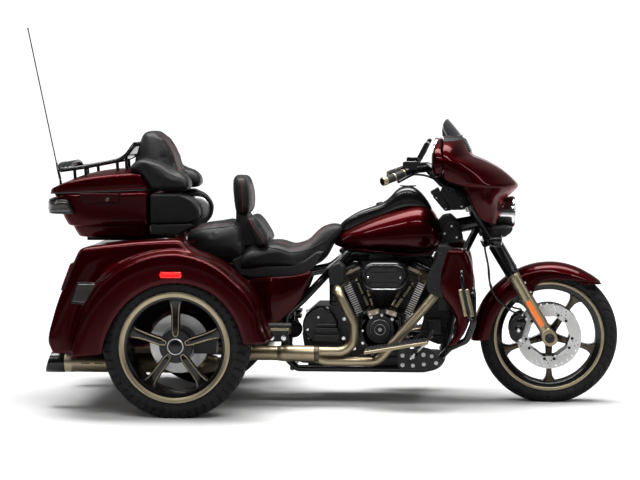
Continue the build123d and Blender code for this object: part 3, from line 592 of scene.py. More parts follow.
a = Mat("mirror_glass", (0.86, 0.87, 0.88), 0.02, 1.0)
a.rough(a.noise(20.0), 0.01, 0.04)
MIRROR = a.m

a = Mat("lamp_reflector", (0.85, 0.85, 0.86), 0.1, 1.0)
a.rough(a.voronoi(120.0), 0.05, 0.2)
a.bump(a.voronoi(90.0), 0.4, 0.002)
REFLECTOR = a.m

a = Mat("fine_fins", (0.72, 0.71, 0.69), 0.4, 0.3)
a.color(a.noise(60.0), [(0.3, (0.62, 0.61, 0.59)), (0.8, (0.82, 0.81, 0.79))]).rough(a.noise(200.0), 0.22, 0.4)
MACHINED = a.m

# ------------------------------------------------------------------ camera, light, floor
CAM_YAW, CAM_PITCH = 0.0684, 0.0699
cam = bpy.data.cameras.new("camera")
cam.sensor_width = 36.0
cam.lens = 114.3
cam.clip_end = 100.0
cam_ob = bpy.data.objects.new("camera", cam)
scene.collection.objects.link(cam_ob)
fwd = Vector((-sin(CAM_YAW) * cos(CAM_PITCH), cos(CAM_YAW) * cos(CAM_PITCH), -sin(CAM_PITCH)))
right = Vector((cos(CAM_YAW), sin(CAM_YAW), 0))
upv = right.cross(fwd)
cam_ob.matrix_world = Matrix((
    (right.x, upv.x, -fwd.x, (1250 - X_REF) / 1000),
    (right.y, upv.y, -fwd.y, -9.5),
    (right.z, upv.z, -fwd.z, 1.425),
    (0, 0, 0, 1)))
scene.camera = cam_ob


def area(name, at, to, size, size_y, power, color=(1, 1, 1), spread=180):
    li = bpy.data.lights.new(name, "AREA")
    li.shape = "RECTANGLE"
    li.size, li.size_y = size, size_y
    li.energy = power
    li.color = color
    ob = bpy.data.objects.new(name, li)
    scene.collection.objects.link(ob)
    ob.location = at
    ob.rotation_euler = (Vector(to) - Vector(at)).to_track_quat("-Z", "Y").to_euler()
    li.spread = radians(spread)
    return ob


# an overhead softbox, a narrow strip for edge lines, and two uprights; the camera side stays dim so that gloss reads deep
area("top_softbox", (0.1, 0.30, 4.5), (0.1, 0.22, 0.0), 6.6, 2.2, 340, spread=110)
area("edge_strip", (0.1, -3.1, 3.7), (0.1, 0.0, 0.8), 6.8, 0.10, 190)
area("front_strip", (4.6, -1.3, 2.6), (0.9, 0.0, 0.8), 0.14, 2.6, 26)
area("rear_strip", (-4.5, -1.5, 2.6), (-0.9, 0.0, 0.7), 0.14, 2.6, 24)
world = bpy.data.worlds.new("studio")
scene.world = world
world.use_nodes = True
wn = world.node_tree
bg = wn.nodes["Background"]
bg.inputs["Strength"].default_value = 1.0
sky = wn.nodes.new("ShaderNodeTexCoord")
dot = wn.nodes.new("ShaderNodeVectorMath")
dot.operation = "DOT_PRODUCT"
dot.inputs[1].default_value = (0.0, 0.62, 0.78)
wn.links.new(sky.outputs["Generated"], dot.inputs[0])
lift = wn.nodes.new("ShaderNodeMapRange")
lift.inputs["From Min"].default_value = -1.0
wn.links.new(dot.outputs["Value"], lift.inputs["Value"])
grade = wn.nodes.new("ShaderNodeValToRGB")
stops = grade.color_ramp.elements
for pos, v in ((0.0, 0.035), (0.55, 0.04), (0.7, 0.07), (0.82, 0.14), (0.92, 0.22)):
    el = stops[0] if pos == 0.0 else stops.new(pos)
    el.position = pos
    el.color = (v, v, v, 1)
stops[-1].color = (0.28, 0.28, 0.28, 1)
wn.links.new(lift.outputs["Result"], grade.inputs["Fac"])
wn.links.new(grade.outputs["Color"], bg.inputs["Color"])
scene.view_settings.view_transform = "Standard"

a = Mat("studio_floor", (0.6, 0.6, 0.6), 0.7)
# the floor is painted darker under and round the vehicle than out in front: painted shade for the soft shadow there
out = a.node("SeparateXYZ")
a.link(a.coord, out.inputs["Vector"])
floor_painted_shade = a.node("MapRange", interpolation_type="SMOOTHSTEP")
floor_painted_shade.inputs["From Min"].default_value = -0.7
floor_painted_shade.inputs["From Max"].default_value = -2.6
a.link(out.outputs["Y"], floor_painted_shade.inputs["Value"])
a.color(floor_painted_shade.outputs["Result"], [(0.0, (0.46, 0.46, 0.46)), (1.0, (0.72, 0.72, 0.72))]).rough(a.noise(8.0), 0.62, 0.78)
# the backdrop half of the sweep is lit through from behind
sep = a.node("SeparateXYZ")
a.link(a.coord, sep.inputs["Vector"])
glow = a.node("MapRange", interpolation_type="SMOOTHSTEP")
glow.inputs["From Min"].default_value = 0.8
glow.inputs["From Max"].default_value = 3.4
a.link(sep.outputs["Y"], glow.inputs["Value"])
a.b.inputs["Emission Color"].default_value = (1, 1, 1, 1)
# it fades out above the height that the picture needs
high = a.node("MapRange", interpolation_type="SMOOTHSTEP")
high.inputs["From Min"].default_value = 4.6
high.inputs["From Max"].default_value = 3.5
a.link(sep.outputs["Z"], high.inputs["Value"])
both = a.node("Math", operation="MULTIPLY")
# and the floor far out on every side glows a little as well
span = a.node("VectorMath", operation="LENGTH")
a.link(a.coord, span.inputs[0])
far = a.node("MapRange", interpolation_type="SMOOTHSTEP")
far.inputs["From Min"].default_value = 6.0
far.inputs["From Max"].default_value = 12.0
far.inputs["To Max"].default_value = 0.5
a.link(span.outputs["Value"], far.inputs["Value"])
more = a.node("Math", operation="MAXIMUM")
a.link(glow.outputs["Result"], more.inputs[0])
a.link(far.outputs["Result"], more.inputs[1])
a.link(more.outputs[0], both.inputs[0])
a.link(high.outputs["Result"], both.inputs[1])
a.link(both.outputs[0], a.b.inputs["Emission Strength"])
FLOOR = a.m
# floor that curves up into a backdrop behind the vehicle
sweep_line = [(-44.0, 0.0), (-20.0, 0.0), (17.0, 0.0), (20.5, 0.3), (22.8, 1.3), (23.8, 3.0), (24.2, 9.0)]
floor = mesh_object("floor", [(x, y, z) for y, z in sweep_line for x in (-44.0, 44.0)], [(2 * i, 2 * i + 1, 2 * i + 3, 2 * i + 2) for i in range(len(sweep_line) - 1)])
floor.data.materials.append(FLOOR)
subsurf(floor, 2)
floor.location.z = -0.0005


# ------------------------------------------------------------------ wheels
FX, FZ = 1670.0, 319.3
RZ = 325.0


def ring_solid(name, profile, x, z, seg=144, sharp=35):
    """A closed (y, r) section turned about the axle line through (x, z)."""
    n = len(profile)
    v, f = [], []
    for i in range(seg):
        t = 2 * pi * i / seg
        for y, r in profile:
            v.append(P(x + r * cos(t), y, z + r * sin(t)))
    for i in range(seg):
        for j in range(n):
            f.append((i * n + j, i * n + (j + 1) % n, ((i + 1) % seg) * n + (j + 1) % n, ((i + 1) % seg) * n + j))
    return mesh_object(name, v, f, True, sharp)


def tyre(name, x, yc, z, section, pitch_count, grooves, body, node):
    """A tyre with cut grooves. section: half outline of (y, r) from the crown to the bead; grooves: (y, half width, depth)."""
    seg = pitch_count * 4
    half = section
    half_wide = max(y for y, r in half)
    full = [(-y, r) for y, r in reversed(half[1:])] + half
    inner = [(half[-1][0] - 3, half[-1][1] + 2), (0, half[-1][1] + 6), (-half[-1][0] + 3, half[-1][1] + 2)]
    prof = full + inner
    n = len(prof)
    v, f = [], []
    for i in range(seg):
        t = 2 * pi * i / seg
        for j, (y, r) in enumerate(prof):
            rr, yy = r, y
            if j < len(full):
                for gy, gw, depth, lag, every in grooves:
                    # slanted cross cuts: each starts further round as it goes outward
                    if every:
                        k = (i - int(lag * abs(y))) % every
                        if gy - gw <= abs(y) <= gy + gw and k < 2:
                            # on the shoulder the cut goes in sideways as well
                            side = max(0.0, min(1.0, (abs(y) - 0.62 * half_wide) / (0.3 * half_wide)))
                            rr -= depth * (1 - 0.45 * side)
                            yy -= (1 if y > 0 else -1) * depth * 0.8 * side
                    elif abs(abs(y) - gy) < gw:
                        rr -= depth
            v.append(P(x + rr * cos(t), yc + yy, z + rr * sin(t)))
    for i in range(seg):
        for j in range(n):
            f.append((i * n + j, i * n + (j + 1) % n, ((i + 1) % seg) * n + (j + 1) % n, ((i + 1) % seg) * n + j))
    ob = mesh_object(name, v, f, True, 38)
    return give(ob, TYRE, body, "tyre", node)


def dense(half, steps):
    """Adds points along a half section so that grooves have room."""
    out = []
    for (y0, r0), (y1, r1) in zip(half, half[1:]):
        k = max(1, int(hypot(y1 - y0, r1 - r0) / steps))
        out += [(lerp(y0, y1, i / k), lerp(r0, r1, i / k)) for i in range(k)]
    return out + [half[-1]]


# front: round crown, slanted cuts
front_crown = [(26 * i / 6, 319.3 - 0.0051 * (26 * i / 6) ** 2) for i in range(7)]
front_half = dense(front_crown + [(36, 312.2), (46, 305.5), (55, 297), (61, 288), (63.5, 280), (62, 270), (55, 262), (47, 257.5), (44, 255.5), (43, 243)], 3.0)
tyre("front_tyre_tread", FX, 0, FZ, front_half, 90, [(9, 1.6, 5, 0, 0), (38, 25, 5.5, 0.28, 9)], "front_wheel_body", "front_tyre")
rear_half = dense([(0, 325), (40, 324.6), (70, 322.8), (84, 319.5), (93, 313), (99, 303), (105, 288), (107, 275), (105, 262), (101, 252), (98, 247), (97, 231)], 3.6)
for side, s in (("right", -1), ("left", 1)):
    tyre(f"rear_{side}_tyre_tread", 0, s * 555, RZ, rear_half, 96, [(14, 3.4, 6.5, 0, 0), (46, 3.4, 6.5, 0, 0), (30, 11, 4.5, 0.16, 8), (79, 27, 6.0, 0.12, 8)], f"rear_{side}_wheel_body", f"rear_{side}_tyre")


def raised_spoke(x, z, angle, table, y_face, y_back, crown, outward):
    """A spoke as a rounded bar: table of (radius, half width, face drop). Returns rings for a loft."""
    a = radians(angle)
    rings = []
    for r, w, drop in table:
        ring = []
        yf, yb = y_face - outward * drop, y_back
        for t, yy in ((-1.0, yb), (-1.0, lerp(yf, yb, 0.30)), (-0.90, lerp(yf, yb, 0.07)), (-0.62, yf), (0.0, yf + outward * crown), (0.62, yf), (0.90, lerp(yf, yb, 0.07)), (1.0, lerp(yf, yb, 0.30)), (1.0, yb)):
            ring.append(P(x + r * cos(a) - t * w * sin(a), yy, z + r * sin(a) + t * w * cos(a)))
        rings.append(ring)
    return rings


# front wheel: bronze rim ring with five single spokes that flare at the rim
rim_profile = [(-52, 255), (-46.5, 255.5), (-44.5, 252), (-44, 241.3), (-20, 236), (20, 236), (44, 241.3), (44.5, 252), (46.5, 255.5), (52, 255), (53.5, 250), (52, 243), (48.5, 237), (46, 231), (44, 224), (40, 218.5), (36, 217), (20, 224), (-20, 224), (-36, 217), (-40, 218.5), (-44, 224), (-46, 231), (-48.5, 237), (-52, 243), (-53.5, 250)]
rim = ring_solid("front_rim_ring", rim_profile, FX, FZ, 160, 32)
give(rim, BLACK, "front_wheel_body", "black_paint", "front_wheel")
# bronze lip on each side of the black barrel
for s, side in ((-1, "right"), (1, "left")):
    lip = ring_solid(f"front_rim_lip_{side}", [(s * y, r) for y, r in ((47, 255.2), (52.2, 255.4), (54, 250.2), (53.2, 245.2), (51.4, 241.6), (50.0, 240.2), (47.6, 241.4))], FX, FZ, 160, 40)
    give(lip, BRONZE, "front_wheel_body", "bronze", "front_wheel")
FRONT_SPOKE = [(30, 19, -3), (52, 16.5, 0), (90, 14, 2), (130, 12.5, 4), (165, 12.5, 5), (188, 15, 5), (203, 22, 4), (214, 32, 2), (222, 41, 0)]
faces, backs = [], []
for i in range(5):
    ang = 55 + 72 * i
    for s in (-1, 1):
        ob = loft("sp", raised_spoke(FX, FZ, ang, FRONT_SPOKE, s * 30, 0, 1.5, s), closed=True, caps=True)
        backs.append(ob)
        # bronze face strip standing a little proud of the black spoke
        strip = loft("st", raised_spoke(FX, FZ, ang, [(r, w * 0.62, d) for r, w, d in FRONT_SPOKE[1:]], s * 32.2, s * 24, 1.2, s), closed=True, caps=True)
        faces.append(strip)
spokes = join("front_spokes", backs)
give(spokes, BLACK, "front_wheel_body", "black_paint", "front_wheel")
strips = join("front_spoke_faces", faces)
give(strips, DARK_BRONZE, "front_wheel_body", "bronze", "front_wheel")
hub = turned("front_hub", P(FX, -60, FZ), P(FX, 60, FZ), [(0, 24), (0, 36), (3, 38.5), (14, 38.5), (20, 33), (40, 30), (80, 30), (100, 33), (106, 38.5), (117, 38.5), (120, 36), (120, 24)], 64)
give(hub, ENGINE, "front_wheel_body", "engine_black", "front_wheel")


def flat_ring(name, x, y, z, thick, outer, inner, holes, wave=0):
    """A drilled disc from filled outlines. holes: list of (radius from axle, hole radius, angle)."""
    cu = bpy.data.curves.new(name, "CURVE")
    cu.dimensions = "2D"
    cu.fill_mode = "BOTH"
    cu.extrude = thick / 2000.0

    def loop(cx, cy, r, n, ripple=0.0, count=0):
        sp = cu.splines.new("POLY")
        sp.points.add(n - 1)
        for k, p in enumerate(sp.points):
            t = 2 * pi * k / n
            rr = r + ripple * cos(count * t)
            p.co = ((cx + rr * cos(t)) / 1000, (cy + rr * sin(t)) / 1000, 0, 1)
        sp.use_cyclic_u = True

    loop(0, 0, outer, 144)
    loop(0, 0, inner, 120, wave, 10)
    for hr, r, ang in holes:
        loop(hr * cos(radians(ang)), hr * sin(radians(ang)), r, 12)
    tmp = bpy.data.objects.new(name + "_c", cu)
    scene.collection.objects.link(tmp)
    deps = bpy.context.evaluated_depsgraph_get()
    me = bpy.data.meshes.new_from_object(tmp.evaluated_get(deps), depsgraph=deps)
    bpy.data.objects.remove(tmp)
    bpy.data.curves.remove(cu)
    me.transform(Matrix.Translation(P(x, y, z)) @ Matrix.Rotation(radians(90), 4, "X"))
    bm = bmesh.new()
    bm.from_mesh(me)
    bmesh.ops.remove_doubles(bm, verts=bm.verts, dist=1e-6)
    bmesh.ops.recalc_face_normals(bm, faces=bm.faces)
    bm.to_mesh(me)
    bm.free()
    me.name = name
    ob = bpy.data.objects.new(name, me)
    scene.collection.objects.link(ob)
    return ob


front_holes = []
for k in range(30):
    for rr, off in ((113, 0.0), (126, 4.0), (139, 8.0)):
        front_holes.append((rr, 3.2, 12 * k + off))
for s, side in ((-1, "right"), (1, "left")):
    d = flat_ring(f"front_disc_{side}", FX, s * 64.5, FZ, 5, 150, 94, front_holes, 2.5)
    give(d, DISC_FRONT_PAINTED_DARKER, "front_wheel_body", "steel", "front_brake_discs")
    k = Kit()
    for i in range(5):
        a0 = radians(55 + 72 * i)
        # carrier arm from the spoke pad to the disc, with its button
        for b in (-0.21, 0.21):
            p = P(FX + 98 * cos(a0), s * 60, FZ + 98 * sin(a0))
            q = P(FX + 108 * cos(a0 + b), s * 60, FZ + 108 * sin(a0 + b))
            k.rod(p, q, 5, 12)
            k.turned(P(FX + 107 * cos(a0 + b), s * 61, FZ + 107 * sin(a0 + b)), P(FX + 107 * cos(a0 + b), s * 71, FZ + 107 * sin(a0 + b)), [(0, 7), (6.5, 7), (8, 5.5)], 18)
        p = P(FX + 98 * cos(a0), s * 28, FZ + 98 * sin(a0))
        q = P(FX + 98 * cos(a0), s * 66, FZ + 98 * sin(a0))
        k.turned(p, q, [(0, 13), (30, 10.5), (36, 10.5), (38, 8)], 20)
    ob = k.build(f"front_disc_carrier_{side}")
    give(ob, ENGINE, "front_wheel_body", "engine_black", "front_wheel")

# rear wheels: five paired spokes, bronze edged, dark hub plate and cap
rear_profile = [(-106, 246), (-100.5, 246.5), (-98.5, 243), (-98, 228.6), (-60, 216), (60, 216), (98, 228.6), (98.5, 243), (100.5, 246.5), (106, 246), (107.5, 241), (106, 235), (102, 229), (100, 222), (98, 214), (92, 209), (60, 207), (-60, 207), (-92, 209), (-98, 214), (-100, 222), (-102, 229), (-106, 235), (-107.5, 241)]
REAR_SPOKE = [(50, 20, 0), (72, 20.5, 0), (100, 20, 2), (140, 20.5, 5), (170, 22.5, 6), (192, 27, 4), (204, 32, 1), (211, 36, 0)]
SPOKE_EDGE = [(50, 9, 0), (72, 13.5, 0), (100, 13.5, 2), (140, 14, 5), (170, 16, 6), (190, 19.5, 4), (200, 22, 2)]
for side, s in (("right", -1), ("left", 1)):
    body = f"rear_{side}_wheel_body"
    node = f"rear_{side}_wheel"
    ob = ring_solid(f"rear_{side}_rim_ring", [(s * 555 + y, r) for y, r in rear_profile], 0, RZ, 160, 32)
    give(ob, BLACK, body, "black_paint", node)
    lip = ring_solid(f"rear_{side}_rim_lip", [(s * (555 + y), r) for y, r in ((100, 246.2), (106.4, 246.6), (108.2, 241), (106.8, 234.6), (103.2, 228.4), (101.4, 224), (99.8, 225.2))], 0, RZ, 160, 40)
    give(lip, BRONZE, body, "bronze", node)
    dark, bright = [], []
    for i in range(5):
        ang = 90 + 72 * i
        dark.append(loft("sp", raised_spoke(0, RZ, ang, REAR_SPOKE, s * 622, s * 590, 0.0, s)))
        # thin bronze edge round each spoke face, closed over the hub
        a0 = radians(ang)
        line = [(r, -w, d) for r, w, d in reversed(SPOKE_EDGE)] + [(46, -4, 0), (46, 4, 0)] + [(r, w, d) for r, w, d in SPOKE_EDGE]
        rings = []
        for k, (r, c, d) in enumerate(line):
            r0, c0, _ = line[max(0, k - 1)]
            r1, c1, _ = line[min(len(line) - 1, k + 1)]
            ln = hypot(r1 - r0, c1 - c0)
            nr, nc = (c1 - c0) / ln, -(r1 - r0) / ln
            yf = s * (622.5 - d)
            ring = []
            for t, up in ((-3.0, -6), (-2.6, 1.0), (-1.2, 2.6), (1.2, 2.6), (2.6, 1.0), (3.0, -6)):
                rr, cc = r + nr * t, c + nc * t
                ring.append(P(rr * cos(a0) - cc * sin(a0), yf + s * up, RZ + rr * sin(a0) + cc * cos(a0)))
            rings.append(ring)
        bright.append(loft("st", rings))
    give(join(f"rear_{side}_spokes", dark), BLACK, body, "black_paint", node)
    give(join(f"rear_{side}_spoke_edges", bright), BRONZE, body, "bronze", node)
    hubp = turned(f"rear_{side}_hub", P(0, s * 456, RZ), P(0, s * 640, RZ), [(0, 26), (0, 58), (3, 60), (128, 60), (132, 74), (146, 75), (155, 75), (161, 72), (163, 66), (164, 40), (164, 4)], 72)
    give(hubp, ENGINE, body, "engine_black", node)
    cap = turned(f"rear_{side}_hub_cap", P(0, s * 618, RZ), P(0, s * 640, RZ), [(0, 39), (6, 38.5), (8, 36), (9.5, 31), (8.6, 28), (9.6, 24), (10.6, 12), (11, 2)], 64)
    give(cap, BLACK, body, "gloss_black", node)
    k = Kit()
    k.torus(P(0, s * 626.5, RZ), (0, 1, 0), 34.5, 2.6, 72, 10)
    give(k.build(f"rear_{side}_cap_ring"), SILVER, body, "steel", node)
    d = flat_ring(f"rear_{side}_disc_ground", 0, s * 494, RZ, 8, 133, 84, [])
    k = Kit()
    k.turned(P(0, s * 489.6, RZ), P(0, s * 499.6, RZ), [(0, 61), (0, 83), (1.5, 83.6), (8.5, 83.6), (10, 83), (10, 61)], 72)
    give(k.build(f"rear_{side}_disc_bell"), SILVER, body, "steel", f"rear_{side}_disc")
    give(d, DISC_REAR_PAINTED_LIGHTER, body, "steel", f"rear_{side}_disc")


# ------------------------------------------------------------------ painted body
def section_ring(x, zc, w, h_top, h_low, n=28, pw=0.78, pt=0.86, pl=0.55, y0=0.0):
    """A closed rounded section across the vehicle at x."""
    ring = []
    for k in range(n):
        t = 2 * pi * k / n
        y = y0 + w * spow(cos(t), pw)
        z = zc + (h_top * spow(sin(t), pt) if sin(t) >= 0 else h_low * spow(sin(t), pl))
        ring.append(P(x, y, z))
    return ring


# fuel tank: (x, top, bottom, half width)
TANK = [(652, 764, 757, 12), (658, 772, 750, 30), (675, 786, 738, 58), (705, 800, 727, 88), (750, 824, 720, 112), (800, 850, 716, 132), (860, 876, 711, 148), (920, 897, 705, 158), (980, 916, 700, 165), (1035, 930, 698, 168), (1075, 933, 699, 166), (1110, 920, 706, 158), (1137, 893, 718, 142), (1156, 858, 735, 116), (1168, 815, 755, 76), (1171, 790, 772, 30)]
tank = loft("tank_shell", [section_ring(x, lerp(b, t, 0.40), w, (t - b) * 0.60, (t - b) * 0.40, 32, 0.80, 0.80, 0.62) for x, t, b, w in TANK])
subsurf(tank, 2)
give(tank, PAINT, "chassis", "paint", "fuel_tank")
# welded lip along the bottom of the tank
lip_pts = []
for x, t, b, w in TANK[2:-2]:
    lip_pts.append((x, b + 4, w * 0.80))
for s, side in ((-1, "right"), (1, "left")):
    give(wire(f"tank_lip_{side}", [P(x, s * h, z) for x, z, h in lip_pts], 3.0), PAINT, "chassis", "paint", "fuel_tank")

CONSOLE = [(690, 822, 800, 14), (700, 842, 795, 26), (735, 868, 800, 34), (781, 896, 820, 41), (830, 913, 842, 47), (870, 926, 858, 52), (905, 943, 872, 58), (930, 965, 880, 64), (950, 990, 886, 69), (972, 1008, 892, 73), (1000, 1015, 898, 75), (1030, 1015, 900, 75), (1056, 1002, 900, 73), (1080, 980, 898, 68), (1102, 952, 890, 60), (1120, 924, 882, 46), (1127, 905, 880, 24)]
con = loft("console_shell", [section_ring(x, lerp(b, t, 0.45), w, (t - b) * 0.55, (t - b) * 0.45, 28, 0.62, 0.62, 0.5) for x, t, b, w in CONSOLE])
subsurf(con, 2)
give(con, BLACK, "chassis", "gloss_black", "tank_console")
k = Kit()
k.torus(P(1012, 0, 1014.5), (0, 0, 1), 38, 2.4, 56, 10)
k.turned(P(1012, 0, 1012), P(1012, 0, 1022), [(0, 34), (4, 33), (5, 28), (5.4, 2)], 48)
k.turned(P(880, 0, 926), P(872, 0, 950), [(0, 20), (5, 20), (7, 16), (10, 15), (12, 11), (12.5, 2)], 36)
give(k.build("console_filler_trim"), BLACK, "chassis", "gloss_black", "tank_console")

# front fender: radius tables by angle round the axle
F_OUT = [(46, 349), (60, 345), (75, 345), (105, 343), (130, 341), (145, 345), (158, 349), (170, 354), (184, 363)]
F_LOW = [(46, 346), (49, 334), (53, 318), (58, 303), (66, 286), (74, 275), (85, 267), (95, 259), (103, 247), (108, 232), (114, 226), (122, 230), (130, 241), (139, 249), (155, 258), (170, 267), (184, 278)]
rings = []
steps = 68
for i in range(steps + 1):
    th = lerp(46.5, 184, i / steps)
    ro, rl = smooth_at(F_OUT, th), smooth_at(F_LOW, th)
    sh = min(312, ro - 30)
    rl = min(rl, ro - 2)
    half = []
    # from crown to skirt: (share of half width, radius)
    for y, r in ((0, ro), (20, ro - 0.8), (40, ro - 4), (57, ro - 10.5), (70, ro - 19), (79, ro - 29), (84.5, ro - 42), (86.5, max(rl + (ro - rl) * 0.42, rl)), (87, rl + (ro - rl) * 0.20), (86.5, rl + (ro - rl) * 0.05), (86, rl)):
        half.append((y, max(r, rl)))
    t = radians(th)
    ring = [P(FX + r * cos(t), -y, FZ + r * sin(t)) for y, r in reversed(half)] + [P(FX + r * cos(t), y, FZ + r * sin(t)) for y, r in half[1:]]
    rings.append(ring)
ff = loft("front_fender_skin", rings, closed=False)
solidify(ff, 3.5)
subsurf(ff, 1)
give(ff, PAINT, "steering", "paint", "front_fender")
for s, side in ((-1, "right"), (1, "left")):
    # fork bracket plate with two bolts
    br = plate(f"fender_bracket_{side}", [(1530, 566), (1560, 590), (1604, 552), (1592, 512), (1560, 505)], s * 85, s * 92, 2, 2)
    give(br, PAINT, "steering", "paint", "front_fender")
    k = Kit()
    for x, z in ((1556, 572), (1584, 528)):
        k.bolt(P(x, s * 91, z), (0, s, 0), 6, 6)
    give(k.build(f"fender_bolts_{side}"), CHROME, "steering", "steel")

# batwing fairing: nose, rear edge and half width by height
NOSE = [(842, 1428), (850, 1436), (870, 1444), (900, 1450), (930, 1454), (952, 1461), (968, 1476), (987, 1500), (1002, 1515), (1012, 1523), (1022, 1525), (1040, 1511), (1061, 1490), (1080, 1468), (1097, 1446), (1117, 1412), (1135, 1379), (1148, 1348), (1161, 1318), (1185, 1302), (1210, 1290), (1235, 1277), (1247, 1264)]
REAR_EDGE = [(842, 1405), (860, 1362), (876, 1343), (905, 1324), (930, 1309), (960, 1295), (990, 1282), (1012, 1272), (1024, 1262), (1034, 1240), (1044, 1212), (1056, 1190), (1075, 1180), (1105, 1178), (1160, 1177), (1212, 1177), (1247, 1180)]
HALF_W = [(842, 168), (850, 190), (876, 214), (905, 236), (930, 256), (960, 284), (990, 318), (1012, 346), (1024, 366), (1034, 382), (1056, 398), (1075, 405), (1105, 411), (1135, 412), (1165, 405), (1190, 390), (1212, 362), (1230, 325), (1247, 262)]


def fairing_point(t, z, inset=0.0):
    n_, r_, w_ = smooth_at(NOSE, z), smooth_at(REAR_EDGE, z), smooth_at(HALF_W, z)
    return r_ + (n_ - r_ - inset) * abs(cos(t)) ** 0.92, (w_ - inset) * spow(sin(t), 0.94)


TURNS = [lerp(-pi / 2, pi / 2, k / 48) for k in range(49)]
# where the paint stops on each line up the shell: low in the middle for the vent, high at the sides
edge_z = []
for t in TURNS:
    f = max(0.0, min(1.0, (abs(t) - 0.30) / 0.24))
    edge_z.append(lerp(1172, 1238, f * f * (3 - 2 * f)))
zs = [842, 850, 862, 876, 890, 905, 918, 930, 945, 960, 975, 990, 1002, 1012, 1022, 1032, 1044, 1056, 1066, 1078, 1092, 1105, 1117, 1128, 1138, 1148]
rings = []
for z in zs:
    rings.append([P(*fairing_point(t, z), z) for t in TURNS])
for j in range(1, 9):
    rings.append([P(*fairing_point(t, lerp(1148, e, j / 8)), lerp(1148, e, j / 8)) for t, e in zip(TURNS, edge_z)])
fa = loft("fairing_shell", rings, closed=False)
solidify(fa, 6.0)
subsurf(fa, 1)
give(fa, PAINT, "steering", "paint", "fairing")
# black trim from the paint's upper edge to the foot of the wind deflector
rings = []
for j in range(9):
    rings.append([P(*fairing_point(t, lerp(e - 9, 1247, j / 8), 2.0), lerp(e - 9, 1247, j / 8)) for t, e in zip(TURNS, [min(e, 1240) for e in edge_z])])
tm = loft("fairing_top_trim", rings, closed=False)
solidify(tm, 4.0)
give(tm, PLASTIC, "steering", "black_plastic", "fairing")
# vent under the wind deflector and a rubber seal along the top edge
vent = []
for z in (1176, 1182, 1206, 1232, 1238):
    n_, r_, w_ = smooth_at(NOSE, z), smooth_at(REAR_EDGE, z), smooth_at(HALF_W, z)
    proud = 0.0 if z in (1176, 1238) else 3.5
    vent.append([P(r_ + (n_ - r_) * abs(cos(t)) ** 0.92 + proud * cos(t) + 0.6, w_ * spow(sin(t), 0.94), z) for t in [lerp(-0.42, 0.42, k / 20) for k in range(21)]])
ve = loft("fairing_vent", vent, closed=False)
solidify(ve, 4)
give(ve, PLASTIC, "steering", "black_plastic", "fairing")
k = Kit()
for i in range(5):
    z = 1188 + 9.5 * i
    n_, r_, w_ = smooth_at(NOSE, z), smooth_at(REAR_EDGE, z), smooth_at(HALF_W, z)
    for j in range(20):
        t0, t1 = lerp(-0.36, 0.36, j / 20), lerp(-0.36, 0.36, (j + 1) / 20)
        k.rod(P(r_ + (n_ - r_) * cos(t0) ** 0.92 + 4.5, w_ * spow(sin(t0), 0.94), z), P(r_ + (n_ - r_) * cos(t1) ** 0.92 + 4.5, w_ * spow(sin(t1), 0.94), z), 1.6, 8)
give(k.build("fairing_vent_slats"), BLACK, "steering", "gloss_black")
rim_pts = []
z = 1247
n_, r_, w_ = smooth_at(NOSE, z), smooth_at(REAR_EDGE, z), smooth_at(HALF_W, z)
for k in range(25):
    t = lerp(-pi / 2, pi / 2, k / 24)
    rim_pts.append(P(r_ + (n_ - r_) * abs(cos(t)) ** 0.92 - 2, w_ * spow(sin(t), 0.94) * 0.99, z + 1))
give(wire("fairing_top_seal", rim_pts, 4.5), RUBBER, "steering", "rubber")

# inner fairing with two dials, a screen and two small gauges
rings = []
for y in (-401, -396, -380, -350, -300, -230, -150, -60, 60, 150, 230, 300, 350, 380, 396, 401):
    ay = abs(y)
    top = curve_at([(0, 1241), (230, 1238), (300, 1222), (350, 1204), (380, 1186), (396, 1160), (401, 1140)], ay)
    low = curve_at([(0, 1058), (230, 1062), (350, 1066), (380, 1076), (396, 1096), (401, 1118)], ay)
    xr = curve_at([(0, 1146), (200, 1142), (330, 1130), (380, 1126), (396, 1140), (401, 1158)], ay)
    zc, h = (top + low) / 2, (top - low) / 2
    ring = []
    for k in range(24):
        t = 2 * pi * k / 24
        ring.append(P(lerp(1180, xr, 0.5) + (1180 - xr) / 2 * spow(cos(t), 0.6), y, zc + h * spow(sin(t), 0.75)))
    rings.append(ring)
inn = loft("inner_fairing_panel", rings)
subsurf(inn, 1)
give(inn, PAINT, "steering", "paint", "inner_fairing")
k, g, w = Kit(), Kit(), Kit()
for y, z, r in ((-78, 1188, 46), (78, 1188, 46), (-165, 1196, 26), (165, 1196, 26)):
    x = 1146 if abs(y) < 100 else 1142
    k.turned(P(x + 6, y, z), P(x - 20, y, z), [(0, r + 4), (12, r + 4), (16, r + 1), (16, r - 3), (11, r - 4), (11, 1)], 48)
    g.turned(P(x - 8, y, z), P(x - 10, y, z), [(0, r - 4), (0.6, r - 4.2), (0.7, 1)], 40)
    for i in range(11):
        t = radians(220 - 26 * i)
        w.rod(P(x - 6, y + (r - 13) * cos(t), z + (r - 13) * sin(t)), P(x - 6, y + (r - 8) * cos(t), z + (r - 8) * sin(t)), 0.9, 6)
    w.rod(P(x - 6.4, y, z), P(x - 6.4, y + (r - 12) * cos(radians(200)), z + (r - 12) * sin(radians(200))), 1.0, 6)
give(k.build("dial_bezels"), CHROME, "steering", "steel")
give(w.build("dial_marks"), SILVER, "steering", "steel")
give(g.build("dial_glasses"), CLEAR, "steering", "clear_glass")
k = Kit()
k.box(P(1136, -72, 1076), P(1152, 72, 1136))
scr = k.build("dash_screen", True, None)
bevel(scr, 4, 3)
give(scr, BLACK, "steering", "gloss_black")
k = Kit()
for y in (-312, 312):
    k.turned(P(1140, y, 1128), P(1118, y, 1128), [(0, 50), (10, 50), (14, 46), (12, 40), (6, 20), (7, 12), (9, 10), (10, 2)], 48)
give(k.build("dash_speakers"), PLASTIC, "steering", "black_plastic")

